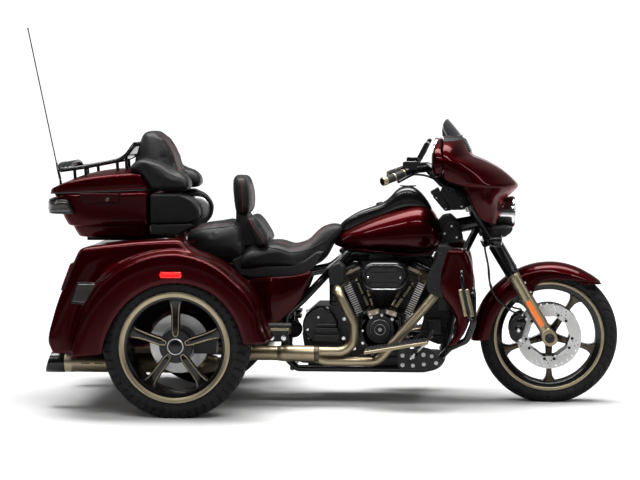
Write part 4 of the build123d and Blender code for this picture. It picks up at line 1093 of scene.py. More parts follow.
# wind deflector: curved smoked sheet
rings = []
for j in range(9):
    v = j / 8
    ring = []
    for k in range(33):
        u = lerp(-1, 1, k / 32)
        y = 262 * spow(sin(u * pi / 2), 1.0)
        xb = 1176 + 86 * abs(cos(u * pi / 2)) ** 1.0
        h = 76 * (1 - abs(u) ** 2.6) + 3
        ring.append(P(xb - 66 * h / 78 * v ** 1.1, y * (1 - 0.03 * v), 1249.5 + h * v))
    rings.append(ring)
ws = loft("wind_deflector", rings, closed=False)
solidify(ws, 4.0, 0)
subsurf(ws, 1)
give(ws, SMOKE, "steering", "smoke_glass", "windshield")

# headlamp: bezel, bowl, bulb and lens
LZ = 892
bez = turned("headlamp_bezel", P(1415, 0, LZ), P(1520, 0, LZ), [(0, 40), (0, 66), (24, 70), (60, 73), (74, 75.5), (84, 76), (91, 74.5), (95, 70.5), (94, 66), (86, 64), (70, 62), (30, 40), (20, 5)], 88)
give(bez, CHROME, "steering", "steel", "headlamp")
k = Kit()
k.turned(P(1440, 0, LZ), P(1500, 0, LZ), [(0, 4), (3, 30), (16, 48), (34, 57), (52, 61.5), (52, 58), (34, 53), (16, 44), (5, 26), (4, 2)], 72)
give(k.build("headlamp_bowl"), REFLECTOR, "steering", "clear_glass", "headlamp")
k = Kit()
for y, z, r in ((0, 917, 22), (0, 867, 22), (-31, 892, 19), (31, 892, 19)):
    k.turned(P(1466, y, z), P(1500, y, z), [(0, r), (18, r), (22, r - 4), (24, r * 0.55), (25, 1)], 36)
give(k.build("headlamp_projectors"), CHROME, "steering", "steel")
lens = turned("headlamp_lens", P(1494, 0, LZ), P(1520, 0, LZ), [(0, 66), (4, 65.5), (9, 61), (14, 51), (18, 38), (20.5, 22), (21.5, 4), (18.5, 4), (17.5, 22), (15, 37), (11, 50), (6, 59), (1, 62)], 72)
give(lens, CLEAR, "steering", "clear_glass", "headlamp")

# turn signals: bullet housings with lenses
for s, side in ((-1, "right"), (1, "left")):
    b = turned(f"signal_housing_{side}", P(1382, s * 205, 777), P(1450, s * 205, 772), [(0, 6), (2, 13), (8, 21), (18, 27), (32, 30), (52, 31), (58, 32.5), (62, 32), (62, 27), (54, 26), (54, 2)], 48)
    give(b, BLACK, "steering", "gloss_black", "turn_signals")
    l = turned(f"signal_lens_{side}", P(1434, s * 205, 774), P(1454, s * 205, 772), [(0, 25), (6, 27.5), (11, 24), (14, 15), (15, 2)], 40)
    give(l, DARK_LENS, "steering", "red_lens", "turn_signals")
    a0 = Kit()
    a0.turned(P(1416, s * 155, 778), P(1416, s * 190, 776), [(0, 13), (4, 13), (6, 8.5), (24, 8), (34, 11)], 28)
    give(a0.build(f"signal_arm_{side}"), BLACK, "steering", "gloss_black", "turn_signals")


# ------------------------------------------------------------------ rear body
CX, CZ = 0.0, 322.0
BODY_SIDE = [(-556, 281), (-580, 335), (-577, 376), (-538, 512), (-476, 663), (-440, 742), (-424, 759), (-300, 774), (-181, 787), (-60, 795), (7, 798), (28, 789), (53, 758), (120, 728), (190, 690), (259, 631), (311, 567), (360, 504), (382, 418), (408, 350)]
FLARE_R = [(4, 410), (10, 400), (16, 393), (27, 403), (40, 405), (47, 401), (65, 411), (79, 417), (90, 421), (111, 421), (127, 423), (143, 427), (161, 428), (173, 438), (186, 458)]


def rounded(points, times=2, cut=0.18):
    """Corners of an open line cut back a little."""
    for _ in range(times):
        out = [points[0]]
        for (x0, z0), (x1, z1) in zip(points, points[1:]):
            out += [(lerp(x0, x1, cut), lerp(z0, z1, cut)), (lerp(x0, x1, 1 - cut), lerp(z0, z1, 1 - cut))]
        points = out + [points[-1]]
    return points


BODY_LINE = rounded(BODY_SIDE)
LIP_R = [(4, 306), (16, 302), (33, 297), (51, 296), (69, 293), (86, 288), (102, 286), (120, 285), (140, 286), (161, 295), (179, 311), (186, 320)]


def body_radius(th):
    """Distance from the wheel centre to the body's side outline along a ray."""
    dx, dz = cos(th), sin(th)
    best = 0.0
    for (x0, z0), (x1, z1) in zip(BODY_LINE, BODY_LINE[1:]):
        ex, ez = x1 - x0, z1 - z0
        den = dx * ez - dz * ex
        if abs(den) < 1e-9:
            continue
        t = ((x0 - CX) * ez - (z0 - CZ) * ex) / den
        u = ((x0 - CX) * dz - (z0 - CZ) * dx) / den
        if -1e-6 <= u <= 1 + 1e-6 and t > best:
            best = t
    return best


angles = [lerp(4.2, 184.6, i / 150) for i in range(151)]
rings = []
for deg in angles:
    th = radians(deg)
    rl, rf = smooth_at(LIP_R, deg), smooth_at(FLARE_R, deg)
    rb = max(body_radius(th), rf + 10)
    gap = rb - rf
    prof = [(rl + 6, 664), (rl + 1, 672), (rl, 682), (rl + 3.5, 690.5), (rl + 10, 694), (rl + 26, 695), (lerp(rl, rf, 0.6), 695), (rf - 12, 694.5), (rf - 6, 692.5), (rf - 2, 688), (rf, 680), (rf + 0.5, 664), (rf + 0.05 * gap, 640), (rf + 0.11 * gap, 618)]
    # from the flare into the flat side, then over the shoulder; a narrow side turns into one soft edge
    w = min(1.0, (gap - 10) / 50.0)
    side = [(rf + 0.20 * gap, lerp(606, 601, w)), (rf + 0.38 * gap, lerp(600, 598, w)), (rf + 0.55 * gap, lerp(594, 597.5, w)), (rb - min(16.0, 0.32 * gap), lerp(588, 596, w)), (rb - min(8.0, 0.18 * gap), lerp(581, 592, w)), (rb - min(2.5, 0.06 * gap), lerp(574, 584, w)), (rb, lerp(566, 572, w))]
    prof += side + [(rb, 540), (rb, 490), (rb, 436)]
    rings.append([P(CX + r * cos(th), -y, CZ + r * sin(th)) for r, y in prof])
fe = loft("rear_fender_right", rings, closed=False)
so = solidify(fe, 4.0)
so.modifiers["solidify"].use_even_offset = False
give_both(fe, "rear_fender_left", PAINT, "chassis", "paint", "rear_fenders")
# wheel-well liner
rings = []
for i in range(45):
    th = radians(lerp(1, 184, i / 44))
    rings.append([P(CX + r * cos(th), -y, CZ + 3 + r * sin(th)) for r, y in ((346, 684), (348, 660), (348, 560), (348, 450), (344, 440), (330, 438), (240, 438), (150, 438))])
li = loft("wheel_well_right", rings, closed=False, sharp=40)
solidify(li, 3.0, 1)
give_both(li, "wheel_well_left", INNER, "chassis", "black_plastic", "rear_fenders")
# red side markers on the flare
for s, side in ((-1, "right"), (1, "left")):
    mk = Kit()
    mk.add([P(x, s * y, z) for x, y, z in [(-56, 692, 635), (36, 692, 635), (42, 692, 650), (36, 692, 665), (-56, 692, 665), (-62, 692, 650), (-53, 700, 638), (33, 700, 638), (38, 700, 650), (33, 700, 662), (-53, 700, 662), (-58, 700, 650)]],
           [(6, 7, 8, 9, 10, 11), (0, 1, 7, 6), (1, 2, 8, 7), (2, 3, 9, 8), (3, 4, 10, 9), (4, 5, 11, 10), (5, 0, 6, 11), (5, 4, 3, 2, 1, 0)])
    ob = mk.build(f"side_marker_{side}", True, None)
    bevel(ob, 2.0, 2)
    give(ob, RED_LENS_PAINTED_GLOW, "chassis", "red_lens")
    # side lamp: dark lens in a black frame
    lamp = [(-466, 520), (-438, 600), (-358, 600), (-396, 514)]
    fr = plate(f"side_lamp_frame_{side}", [(-474, 512), (-441, 608), (-346, 608), (-392, 506)], s * 590, s * 602, 3, 3)
    give(fr, BLACK, "chassis", "gloss_black", "tail_lamps")
    ln = plate(f"side_lamp_lens_{side}", lamp, s * 596, s * 609, 5, 4)
    give(ln, DARK_LENS, "chassis", "red_lens", "tail_lamps")

# trunk: rear face frame from the hinge line to the bumper
HX, HZ, LX_, LZ_ = -436.0, 748.0, -577.0, 376.0
face_len = hypot(LX_ - HX, LZ_ - HZ)
fdx, fdz = (LX_ - HX) / face_len, (LZ_ - HZ) / face_len
fnx, fnz = fdz, -fdx


def on_face(s_, n_):
    return HX + fdx * s_ + fnx * n_, HZ + fdz * s_ + fnz * n_


for s, side in ((-1, "right"), (1, "left")):
    # tall rear lamps beside the lid
    pts = [on_face(64, 1), on_face(196, 1), on_face(196, 15), on_face(64, 15)]
    fr = plate(f"rear_lamp_frame_{side}", pts, s * 448, s * 588, 5, 3)
    give(fr, BLACK, "chassis", "gloss_black", "tail_lamps")
    pts = [on_face(74, 8), on_face(186, 8), on_face(186, 18), on_face(74, 18)]
    ln = plate(f"rear_lamp_lens_{side}", pts, s * 458, s * 578, 5, 4)
    give(ln, RED_LENS_PAINTED_GLOW, "chassis", "red_lens", "tail_lamps")
lid = Kit()
rows = []
for i in range(13):
    sv = lerp(14, 380, i / 12)
    row = []
    for j in range(21):
        yv = lerp(-390, 390, j / 20)
        e = min(i, 12 - i, j, 20 - j)
        crown = 3.0 * (1 - (yv / 390) ** 2) * (1 - ((sv - 197) / 183) ** 2)
        x, z = on_face(sv, -5 if e == 0 else crown)
        row.append(P(x, yv, z))
    rows.append(row)
tl = loft("trunk_lid_panel", rows, closed=False)
solidify(tl, 16.0)
subsurf(tl, 1)
give(tl, PAINT, "trunk_lid_body", "paint", "trunk_lid")


def fx_at(z):
    return HX + (z - HZ) * fdx / fdz


pb = plate("plate_holder", [(-560, 452), (-560, 572), (fx_at(572) + 6, 572), (fx_at(452) + 6, 452)], -105, 105, 5, 3)
give(pb, BLACK, "trunk_lid_body", "gloss_black", "trunk_lid")
pl = plate("blank_plate", [(-562.5, 461), (-562.5, 563), (-560.5, 563), (-560.5, 461)], -89, 89, 0.6, 2)
give(pl, SILVER, "trunk_lid_body", "steel", "trunk_lid")
k = Kit()
for y in (-73, 73):
    for z in (477, 547):
        k.bolt(P(-562, y, z), (-1, 0, 0), 6, 4, True)
give(k.build("plate_bolts"), CHROME, "trunk_lid_body", "steel")
hd = plate("trunk_handle", [on_face(90, 0), on_face(118, 0), on_face(118, 14), on_face(96, 18)], -85, 85, 5, 3)
give(hd, BLACK, "trunk_lid_body", "gloss_black", "trunk_lid")
k = Kit()
x, z = on_face(140, 2)
k.turned(P(x, 0, z), P(x + fnx * 10, 0, z + fnz * 10), [(0, 14), (3, 14), (5, 11), (5, 2)], 36)
give(k.build("trunk_lock"), CHROME, "trunk_lid_body", "steel")

# side covers between seat and fender: a curved sheet
COVER_LINE = [(564, 178), (500, 188), (430, 206), (378, 240), (345, 290), (322, 350), (309, 400), (303, 432)]
cu_len = [0]
for (x0, y0), (x1, y1) in zip(COVER_LINE, COVER_LINE[1:]):
    cu_len.append(cu_len[-1] + hypot(x1 - x0, y1 - y0))
rings = []
for i in range(33):
    d = cu_len[-1] * i / 32
    x = smooth_at(list(zip(cu_len, [p[0] for p in COVER_LINE])), d)
    y = smooth_at(list(zip(cu_len, [p[1] for p in COVER_LINE])), d)
    top = smooth_at([(300, 606), (330, 604), (392, 603), (511, 609), (564, 625)], x)
    low = smooth_at([(300, 362), (400, 378), (474, 438), (528, 505), (556, 585), (564, 612)], x)
    ring = []
    for j in range(11):
        v = j / 10
        bulge = 9 * sin(pi * v)
        ring.append(P(x + bulge * 0.5, -(y + bulge), lerp(low, top, v)))
    rings.append(ring)
sc = loft("side_cover_right", rings, closed=False)
solidify(sc, 6.0)
subsurf(sc, 1)
give_both(sc, "side_cover_left", PAINT, "chassis", "paint", "side_covers")
# decks that close the body between the seat, the trunk's front wall and each side cover: (outer x, outer y, inner x, outer z, inner z)
DECK = [(46, 428, 46, 700, 664), (100, 428, 100, 682, 650), (157, 428, 157, 656, 632), (210, 428, 210, 643, 618), (250, 428, 250, 620, 598), (282, 427, 284, 596, 574), (292, 370, 300, 592, 572), (308, 302, 326, 590, 570), (346, 258, 360, 589, 570), (412, 205, 416, 589, 571), (480, 184, 480, 590, 574)]
rings = []
for xo, yo, xi, zo, zi in DECK:
    rings.append([P(lerp(xo, xi, t), -lerp(yo, 140, t), lerp(zo, zi, t) + 7 * sin(pi * t)) for t in (i / 8 for i in range(9))])
dk = mesh_object("side_deck_right", [p for ring in rings for p in ring], [(9 * i + j, 9 * i + j + 1, 9 * i + j + 10, 9 * i + j + 9) for i in range(len(DECK) - 1) for j in range(8)])
solidify(dk, 4.0)
subsurf(dk, 1)
give_both(dk, "side_deck_left", PAINT, "chassis", "paint")

# lower fairings: (height, front x, rear x)
LOWER = [(745, 1262, 1200), (740, 1280, 1188), (725, 1292, 1180), (690, 1306, 1168), (655, 1316, 1157), (616, 1320, 1150), (575, 1319, 1150), (540, 1316, 1160), (515, 1314, 1184), (490, 1311, 1206), (460, 1307, 1226), (430, 1302, 1237), (400, 1294, 1240), (370, 1282, 1237), (340, 1262, 1226), (318, 1240, 1212), (308, 1222, 1206)]
rings = []
for z, xf, xr in reversed(LOWER):
    ring = []
    ends = 10 if z in (745, 308) else 0
    for k in range(28):
        t = 2 * pi * k / 28
        ring.append(P((xf + xr) / 2 + (xf - xr) / 2 * spow(cos(t), 0.55), -(324 + (78 - ends) * spow(sin(t), 0.55)), z))
    rings.append(ring)
lf = loft("lower_fairing_right", rings)
subsurf(lf, 1)
give_both(lf, "lower_fairing_left", PAINT, "chassis", "paint", "lower_fairings")
# matt black panel behind each lower fairing, with louvres across it and two bolts
PANEL = [(1158, 764), (1200, 764), (1222, 742), (1196, 660), (1186, 580), (1184, 530), (1160, 528), (1130, 540), (1112, 554), (1105, 572), (1108, 616), (1132, 668), (1150, 706)]
ip = plate("lower_fairing_inner_right", PANEL, -266, -390, 9, 4)
give_both(ip, "lower_fairing_inner_left", PLASTIC, "chassis", "black_plastic", "lower_fairings")
for s, side in ((-1, "right"), (1, "left")):
    k = Kit()
    for i in range(9):
        z = 566 + i * 17
        x0 = curve_at([(528, 1150), (554, 1112), (572, 1105), (616, 1108), (668, 1132), (706, 1150), (764, 1160)], z)
        k.rod(P(x0 + 1, s * 282, z), P(x0 + 1, s * 374, z), 3, 8)
    give(k.build(f"lower_fairing_grille_{side}"), PLASTIC, "chassis", "black_plastic", "lower_fairings")
    k = Kit()
    for x, z in ((1140, 566), (1166, 722)):
        k.bolt(P(x, s * 389, z), (0, s, 0), 6, 5, True)
    give(k.build(f"lower_fairing_bolts_{side}"), BLACK, "chassis", "gloss_black")

# ------------------------------------------------------------------ top box
BOX_REAR = [(836, -546), (838, -553), (846, -561), (887, -583), (930, -602), (960, -613), (984, -622)]
BOX_W = [(836, 272), (838, 277), (846, 281), (870, 283), (920, 285), (984, 286)]


def box_ring(x0, x1, w, z_of_x, n=56, grow=0.0, p=0.26):
    """Plan outline from x0 (rear) to x1 (front): rounded at the rear, squarer at the front."""
    ring = []
    cx, rx = (x0 + x1) / 2, (x1 - x0) / 2 + grow
    for k in range(n):
        t = 2 * pi * k / n
        e = p if cos(t) > 0 else 0.40
        x = cx + rx * spow(cos(t), e)
        y = (w + grow) * spow(sin(t), p)
        ring.append(P(x, y, z_of_x(x)))
    return ring


def joint_z(x):
    """Height of the seam between base and lid."""
    return 983 + (x + 634) / 482 * 19


rings = []
for z in (836, 838, 841, 848, 870, 900, 935, 962, 984):
    top = z == 984
    rings.append(box_ring(smooth_at(BOX_REAR, z), -151, smooth_at(BOX_W, z), (lambda x: joint_z(x)) if top else (lambda x, z=z: z + (joint_z(x) - 984) * max(0, (z - 900) / 84)), grow=0))
n = len(rings[0])
verts = [v for r in rings for v in r]
faces = [(i * n + j, i * n + (j + 1) % n, (i + 1) * n + (j + 1) % n, (i + 1) * n + j) for i in range(len(rings) - 1) for j in range(n)]
faces.append(tuple(reversed(range(n))))
bs = mesh_object("top_box_shell", verts, faces, True, 50)
solidify(bs, 6.0)
give(bs, PAINT, "chassis", "paint", "top_box_base")
# lining of the box
# the tray under it is set in all round
rings = [box_ring(x0, -168, w, lambda x, z=z: z) for z, x0, w in ((784, -498, 246), (786, -506, 254), (790, -512, 260), (812, -525, 265), (836, -538, 267), (842, -541, 267))]
tr = loft("top_box_tray", rings, sharp=50)
give(tr, PAINT, "chassis", "paint", "top_box_base")
rings = [box_ring(smooth_at(BOX_REAR, z) + 12, -163, smooth_at(BOX_W, z) - 12, lambda x, z=z: z + 10 if z < 960 else joint_z(x) - 3) for z in (836, 846, 870, 900, 984)]
verts = [v for r in rings for v in r]
faces = [(i * n + j, i * n + (j + 1) % n, (i + 1) * n + (j + 1) % n, (i + 1) * n + j) for i in range(len(rings) - 1) for j in range(n)]
faces.append(tuple(reversed(range(n))))
lin = mesh_object("top_box_lining", verts, faces, True, 50)
solidify(lin, 2.0)
give(lin, PLASTIC, "chassis", "black_plastic", "top_box_base")

CREASE = [(-634, 1003), (-603, 1016), (-560, 1030), (-495, 1048), (-406, 1063), (-309, 1071), (-211, 1076), (-150, 1076)]
TOP_LINE = [(-640, 1006), (-601, 1031), (-552, 1055), (-485, 1074), (-393, 1089), (-302, 1100), (-250, 1104), (-150, 1104)]
LID_SHAPE = []


def lid_point(t_ang, share, lift):
    """share: 1 at the rim to 0 in the middle. Gives the plan position only; the caller leans the front edge back as it
    rises.
    """
    e = 0.26 if cos(t_ang) > 0 else 0.40
    x_rear, x_front = -640.0, -152.0
    cx, rx = (x_rear + x_front) / 2, (x_front - x_rear) / 2
    x = cx + rx * share * spow(cos(t_ang), e)
    y = 287 * share * spow(sin(t_ang), 0.26)
    return x, y


rings = []
N = 72
levels = [("seam", 1.0), ("low", 1.0), ("crease", 0.996), ("edge", 0.985), ("roll", 0.962), ("top", 0.90), ("top", 0.78), ("top", 0.6), ("top", 0.4), ("top", 0.2), ("top", 0.05)]
for kind, share in levels:
    ring = []
    for k in range(N):
        t = 2 * pi * k / N
        x, y = lid_point(t, share, 0)
        base = joint_z(x) + 4.0
        cr, tp = smooth_at(CREASE, x), smooth_at(TOP_LINE, x)
        # lean the front face back: the higher, the further from the front edge
        if kind == "seam":
            z = base
        elif kind == "low":
            z = base + (cr - base) * 0.35
        elif kind == "crease":
            z = cr - 5
        elif kind == "edge":
            z = cr
        elif kind == "roll":
            z = lerp(cr, tp, 0.18)
        else:
            z = lerp(cr, tp, 1 - share ** 2.2)
        front = max(0.0, (z - base) - 2.0)
        lim = -152 - front * 0.80
        if x > lim:
            x = lim
        ring.append(P(x, y, z))
    rings.append(ring)
verts = [v for r in rings for v in r]
faces = [(i * N + j, i * N + (j + 1) % N, (i + 1) * N + (j + 1) % N, (i + 1) * N + j) for i in range(len(rings) - 1) for j in range(N)]
faces.append(tuple((len(rings) - 1) * N + j for j in range(N)))
ld = mesh_object("top_box_lid_shell", verts, faces, True, 60)
solidify(ld, 5.0)
subsurf(ld, 1)
give(ld, PAINT, "top_box_lid_body", "paint", "top_box_lid")
# seal bead along the seam
seam = []
for k in range(64):
    t = 2 * pi * k / 64
    x, y = lid_point(t, 0.998, 0)
    seam.append(P(x, y, joint_z(x) + 2.2))
give(wire("top_box_seal", seam, 2.6, cyclic=True), RUBBER, "chassis", "rubber")
# one latch panel on the right side with its lock, hinges on the left
# a black sheet just behind the latch panel's edge stands in for the shade in the gap round it: painted shade
gap = plate("box_latch_gap", [(-493, 991), (-299, 991), (-297, 940), (-459, 940), (-476, 953)], -279, -288.2, 1.0, 2)
give(gap, INNER, "chassis", "black_plastic")
lt = plate("box_latch", [(-489, 988), (-303, 988), (-301, 944), (-457, 944), (-472, 955)], -279, -292, 4.5, 4)
give(lt, PAINT, "chassis", "paint")
k = Kit()
k.turned(P(-357, -291, 959), P(-357, -297, 959), [(0, 9), (2.6, 9), (3.4, 7.5), (2.4, 6.5), (2.4, 1)], 28)
give(k.build("box_lock"), DARK_BRONZE, "chassis", "steel")
k = Kit()
k.rod(P(-560, 291, joint_z(-560) + 1), P(-240, 291, joint_z(-240) + 1), 4, 16)
give(k.build("box_hinge"), BLACK, "chassis", "gloss_black")
# tail lamp round the back of the box
out_u = [(-503, 297), (-562, 295), (-600, 282), (-628, 258), (-645, 225), (-654, 170), (-658, 90), (-659, 0)]
full = [(x, -h) for x, h in out_u] + [(x, h) for x, h in reversed(out_u[:-1])]
rings = []
for z, inset in ((890, 6), (894, 1.5), (900, 0), (925, 0), (950, 0), (956, 1.5), (960, 6)):
    rings.append([P(x + inset * (0.9 if x < -600 else 0.2) - (0.55 * (z - 890) if x > -530 else 0.0), y * (1 - inset / 300), z) for x, y in full])
lb = loft("box_lamp_bar", rings, closed=False)
solidify(lb, 8)
subsurf(lb, 1)
give(lb, BLACK, "chassis", "gloss_black", "top_box_lamp")
lens_u = [(-512, 299.5), (-562, 297.5), (-601, 284.5), (-630, 260), (-647.5, 227), (-656.5, 171), (-660, 95)]
for s, side in ((-1, "right"), (1, "left")):
    rings = []
    for z, inset in ((902, 2.5), (905, 0), (926, 0), (946, 0), (949, 2.5)):
        rings.append([P(x + inset * 0.5 - (0.55 * (z - 890) if x > -530 else 0.0), s * (y - inset), z) for x, y in lens_u])
    ln = loft(f"box_lamp_lens_{side}", rings, closed=False)
    solidify(ln, 4)
    subsurf(ln, 1)
    give(ln, DARK_LENS, "chassis", "red_lens", "top_box_lamp")

# speaker pods: padded outer side, and a round speaker turned to the passenger
POD = [(-160, 986), (-24, 987), (32, 963), (61, 922), (67, 893), (55, 864), (8, 851), (-160, 846)]
line = POD[:1] + rounded(POD[1:-1], 2, 0.22) + POD[-1:]
pd = plate("speaker_pod_right", line, -186, -290, 13, 5)
give_both(pd, "speaker_pod_left", LEATHER, "chassis", "black_plastic", "speaker_pods")
# lower shell of the pod, set in under the pad
un = plate("pod_shell_right", [(-160, 850), (24, 852), (40, 846), (28, 832), (-30, 798), (-160, 796)], -194, -280, 10, 4)
give_both(un, "pod_shell_left", PLASTIC, "chassis", "black_plastic", "speaker_pods")
sp = turned("speaker_ring_right", P(-5, -212, 893), P(-5, -172, 893), [(0, 70), (4, 76), (20, 79), (32, 79), (36.5, 77), (38, 73), (37, 69.5), (31, 67.5), (29, 60), (28, 2)], 72)
give_both(sp, "speaker_ring_left", PLASTIC, "chassis", "black_plastic", "speaker_pods")
dm = turned("speaker_dome_right", P(-5, -190, 893), P(-5, -170, 893), [(0, 66), (4, 65.6), (8, 62), (11, 54), (13, 40), (14, 20), (14.2, 2)], 64)
give_both(dm, "speaker_dome_left", SILVER, "chassis", "steel", "speaker_pods")


# ------------------------------------------------------------------ cushions
from mathutils.bvhtree import BVHTree


def stuffed(ob, cap, pressure=4.0, voxel=5.0):
    """Remeshes a cushion evenly and blows it up a little as cloth, so that it crowns and creases like a stuffed cover."""
    apply_all(ob)
    m = ob.modifiers.new("remesh", "REMESH")
    m.mode = "VOXEL"
    m.voxel_size = voxel / 1000.0
    m.use_smooth_shade = True
    apply_all(ob)
    me = ob.data
    before = [v.co.copy() for v in me.vertices]
    c = ob.modifiers.new("cloth", "CLOTH")
    c.settings.quality = 4
    c.settings.mass = 0.25
    c.settings.tension_stiffness = c.settings.compression_stiffness = 18
    c.settings.shear_stiffness = 8
    c.settings.bending_stiffness = 2.5
    c.settings.use_pressure = True
    c.settings.uniform_pressure_force = pressure
    c.settings.effector_weights.gravity = 0.0
    c.collision_settings.use_collision = False
    c.point_cache.frame_start = 1
    c.point_cache.frame_end = 20
    for f in range(1, 21):
        scene.frame_set(f)
    apply_all(ob)
    scene.frame_set(1)
    me = ob.data
    moves = [v.co - b for v, b in zip(me.vertices, before)]
    for v, b, d in zip(me.vertices, before, moves):
        if d.length > cap / 1000.0:
            v.co = b + d.normalized() * (cap / 1000.0)
    m = ob.modifiers.new("smooth", "SMOOTH")
    m.factor = 0.5
    m.iterations = 6
    apply_all(ob)
    ob.data.polygons.foreach_set("use_smooth", [True] * len(ob.data.polygons))
    return ob


def surface_of(ob):
    deps = bpy.context.evaluated_depsgraph_get()
    me = ob.evaluated_get(deps).to_mesh()
    tree = BVHTree.FromPolygons([v.co.copy() for v in me.vertices], [tuple(p.vertices) for p in me.polygons])
    ob.evaluated_get(deps).to_mesh_clear()
    return tree


def on_surface(tree, points, direction, lift=0.6):
    """Points thrown on to a surface along a direction, a little proud of it."""
    out = []
    d = Vector(direction).normalized()
    for p in points:
        hit, n, i, dist = tree.ray_cast(Vector(p), d)
        if hit is not None:
            out.append(hit - d * (lift / 1000.0))
    return out


def dense_line(points, step=12):
    out = []
    for a0, b0 in zip(points, points[1:]):
        n = max(1, int((Vector(b0) - Vector(a0)).length * 1000 / step))
        for i in range(n):
            out.append(Vector(a0).lerp(Vector(b0), i / n))
    out.append(Vector(points[-1]))
    return out


def stitch(kit, line, r=1.3, dash=7.0, gap=3.0):
    """Short thread dashes along a line of points."""
    acc, on = 0.0, True
    last = Vector(line[0])
    for p in line[1:]:
        p = Vector(p)
        length = (p - last).length * 1000
        if length < 1e-6:
            continue
        d = (p - last).normalized()
        t = 0.0
        while t < length:
            run = min((dash if on else gap) - acc, length - t)
            if on and run > 1.0:
                kit.rod(last + d * (t / 1000), last + d * ((t + run) / 1000), r, 6)
            acc += run
            t += run
            if acc >= (dash if on else gap) - 1e-6:
                on, acc = not on, 0.0
        last = p


def cushion(ob, body, material, node, cap=8.0, voxel=5.0, second=None, where=None):
    stuffed(ob, cap, voxel=voxel)
    ob.data.materials.clear()
    ob.data.materials.append(material)
    # the faces picked by where take the second finish; the cushions use it for the lighter leather copy on side-facing
    # faces, a painted highlight
    if second is not None:
        ob.data.materials.append(second)
        for p in ob.data.polygons:
            c = p.center
            if where(c.x * 1000 + X_REF, c.y * 1000, c.z * 1000, p.normal):
                p.material_index = 1
    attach(ob, body)
    if node:
        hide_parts(node)
    return ob


# rider's saddle: (x, top, bottom, half width of the top, half width low down)
SADDLE = [(240, 700, 632, 180, 196), (265, 724, 628, 184, 200), (300, 738, 626, 186, 202), (347, 744, 628, 186, 202), (374, 751, 629, 188, 201), (410, 750, 630, 190, 200), (446, 741, 631, 189, 198), (477, 732, 631, 184, 193), (513, 740, 632, 172, 183), (554, 760, 636, 152, 166), (580, 786, 646, 134, 150), (607, 814, 662, 114, 132), (634, 833, 692, 98, 114), (660, 840, 742, 86, 98), (680, 839, 778, 78, 86), (696, 834, 806, 68, 72), (702, 826, 814, 58, 60)]
rings = []
for i in range(45):
    x = lerp(240, 702, i / 44)
    top = smooth_at([(r[0], r[1]) for r in SADDLE], x)
    low = smooth_at([(r[0], r[2]) for r in SADDLE], x)
    wt = smooth_at([(r[0], r[3]) for r in SADDLE], x)
    wl = smooth_at([(r[0], r[4]) for r in SADDLE], x)
    dish = 10 * max(0.0, 1 - abs(x - 440) / 130)
    ring = []
    for k in range(36):
        t = 2 * pi * k / 36
        cy, sz = spow(cos(t), 0.55), spow(sin(t), 0.62)
        u = (sz + 1) / 2
        w = lerp(wl, wt, u ** 1.5)
        z = lerp(low, top, u)
        if sz > 0:
            z += dish * (cy * cy - 0.35) * u
        ring.append(P(x, w * cy, z))
    rings.append(ring)
saddle = loft("rider_saddle", rings)
cushion(saddle, "chassis", LEATHER, "rider_seat", cap=7, second=LEATHER_PAINTED_HIGHLIGHT, where=lambda x, y, z, n: 470 < x < 700 and abs(n.y) > 0.25 and z > 640 + 0.35 * abs(x - 560))
# bolster behind the rider's hips
rings = []
for i in range(15):
    v = i / 14
    # pad face runs from (370,760) up to (290,884); it is about 68 mm thick
    fx, fz = lerp(374, 292, v), lerp(758, 882, v)
    rx, rz = lerp(300, 240, v), lerp(735, 868, v)
    w = 194 * (1 - 0.10 * v ** 2)
    pinch = sqrt(max(0.0, 1 - (2 * v - 1) ** 8))
    pinch = 0.35 + 0.65 * pinch
    mx, mz = (fx + rx) / 2, (fz + rz) / 2
    ring = []
    for k in range(32):
        t = 2 * pi * k / 32
        cy, ct = spow(cos(t), 0.42), spow(sin(t), 0.6)
        curve = 20 * (abs(cy) ** 2.2)
        ring.append(P(mx + (fx - mx) * ct * pinch + curve, w * cy * (0.9 + 0.1 * pinch), mz + (fz - mz) * ct * pinch))
    rings.append(ring)
bol = loft("rider_seat_bolster", rings)
cushion(bol, "chassis", LEATHER, "rider_seat", cap=6, second=LEATHER_PAINTED_HIGHLIGHT, where=lambda x, y, z, n: abs(n.y) > 0.62)
# passenger's seat
PSEAT = [(-8, 806, 690, 150, 160), (8, 814, 664, 160, 172), (30, 822, 660, 164, 176), (69, 832, 660, 166, 178), (130, 840, 660, 166, 180), (190, 850, 660, 164, 182), (214, 852, 662, 160, 184), (228, 838, 664, 158, 186), (240, 812, 668, 156, 186), (250, 780, 690, 154, 184)]
rings = []
for i in range(29):
    x = lerp(-8, 250, i / 28)
    top, low, wt, wl = (smooth_at([(r[0], r[j]) for r in PSEAT], x) for j in (1, 2, 3, 4))
    ring = []
    for k in range(36):
        t = 2 * pi * k / 36
        cy, sz = spow(cos(t), 0.42), spow(sin(t), 0.5)
        u = (sz + 1) / 2
        ring.append(P(x, lerp(wl, wt, u ** 1.5) * cy, lerp(low, top, u) + (4 * (1 - cy * cy) - 2 if sz > 0 else 0)))
    rings.append(ring)
ps = loft("passenger_seat_cushion", rings)
cushion(ps, "chassis", LEATHER, "passenger_seat", cap=6, second=LEATHER_PAINTED_HIGHLIGHT, where=lambda x, y, z, n: z > 800 and abs(n.y) > 0.35 and x < 225)
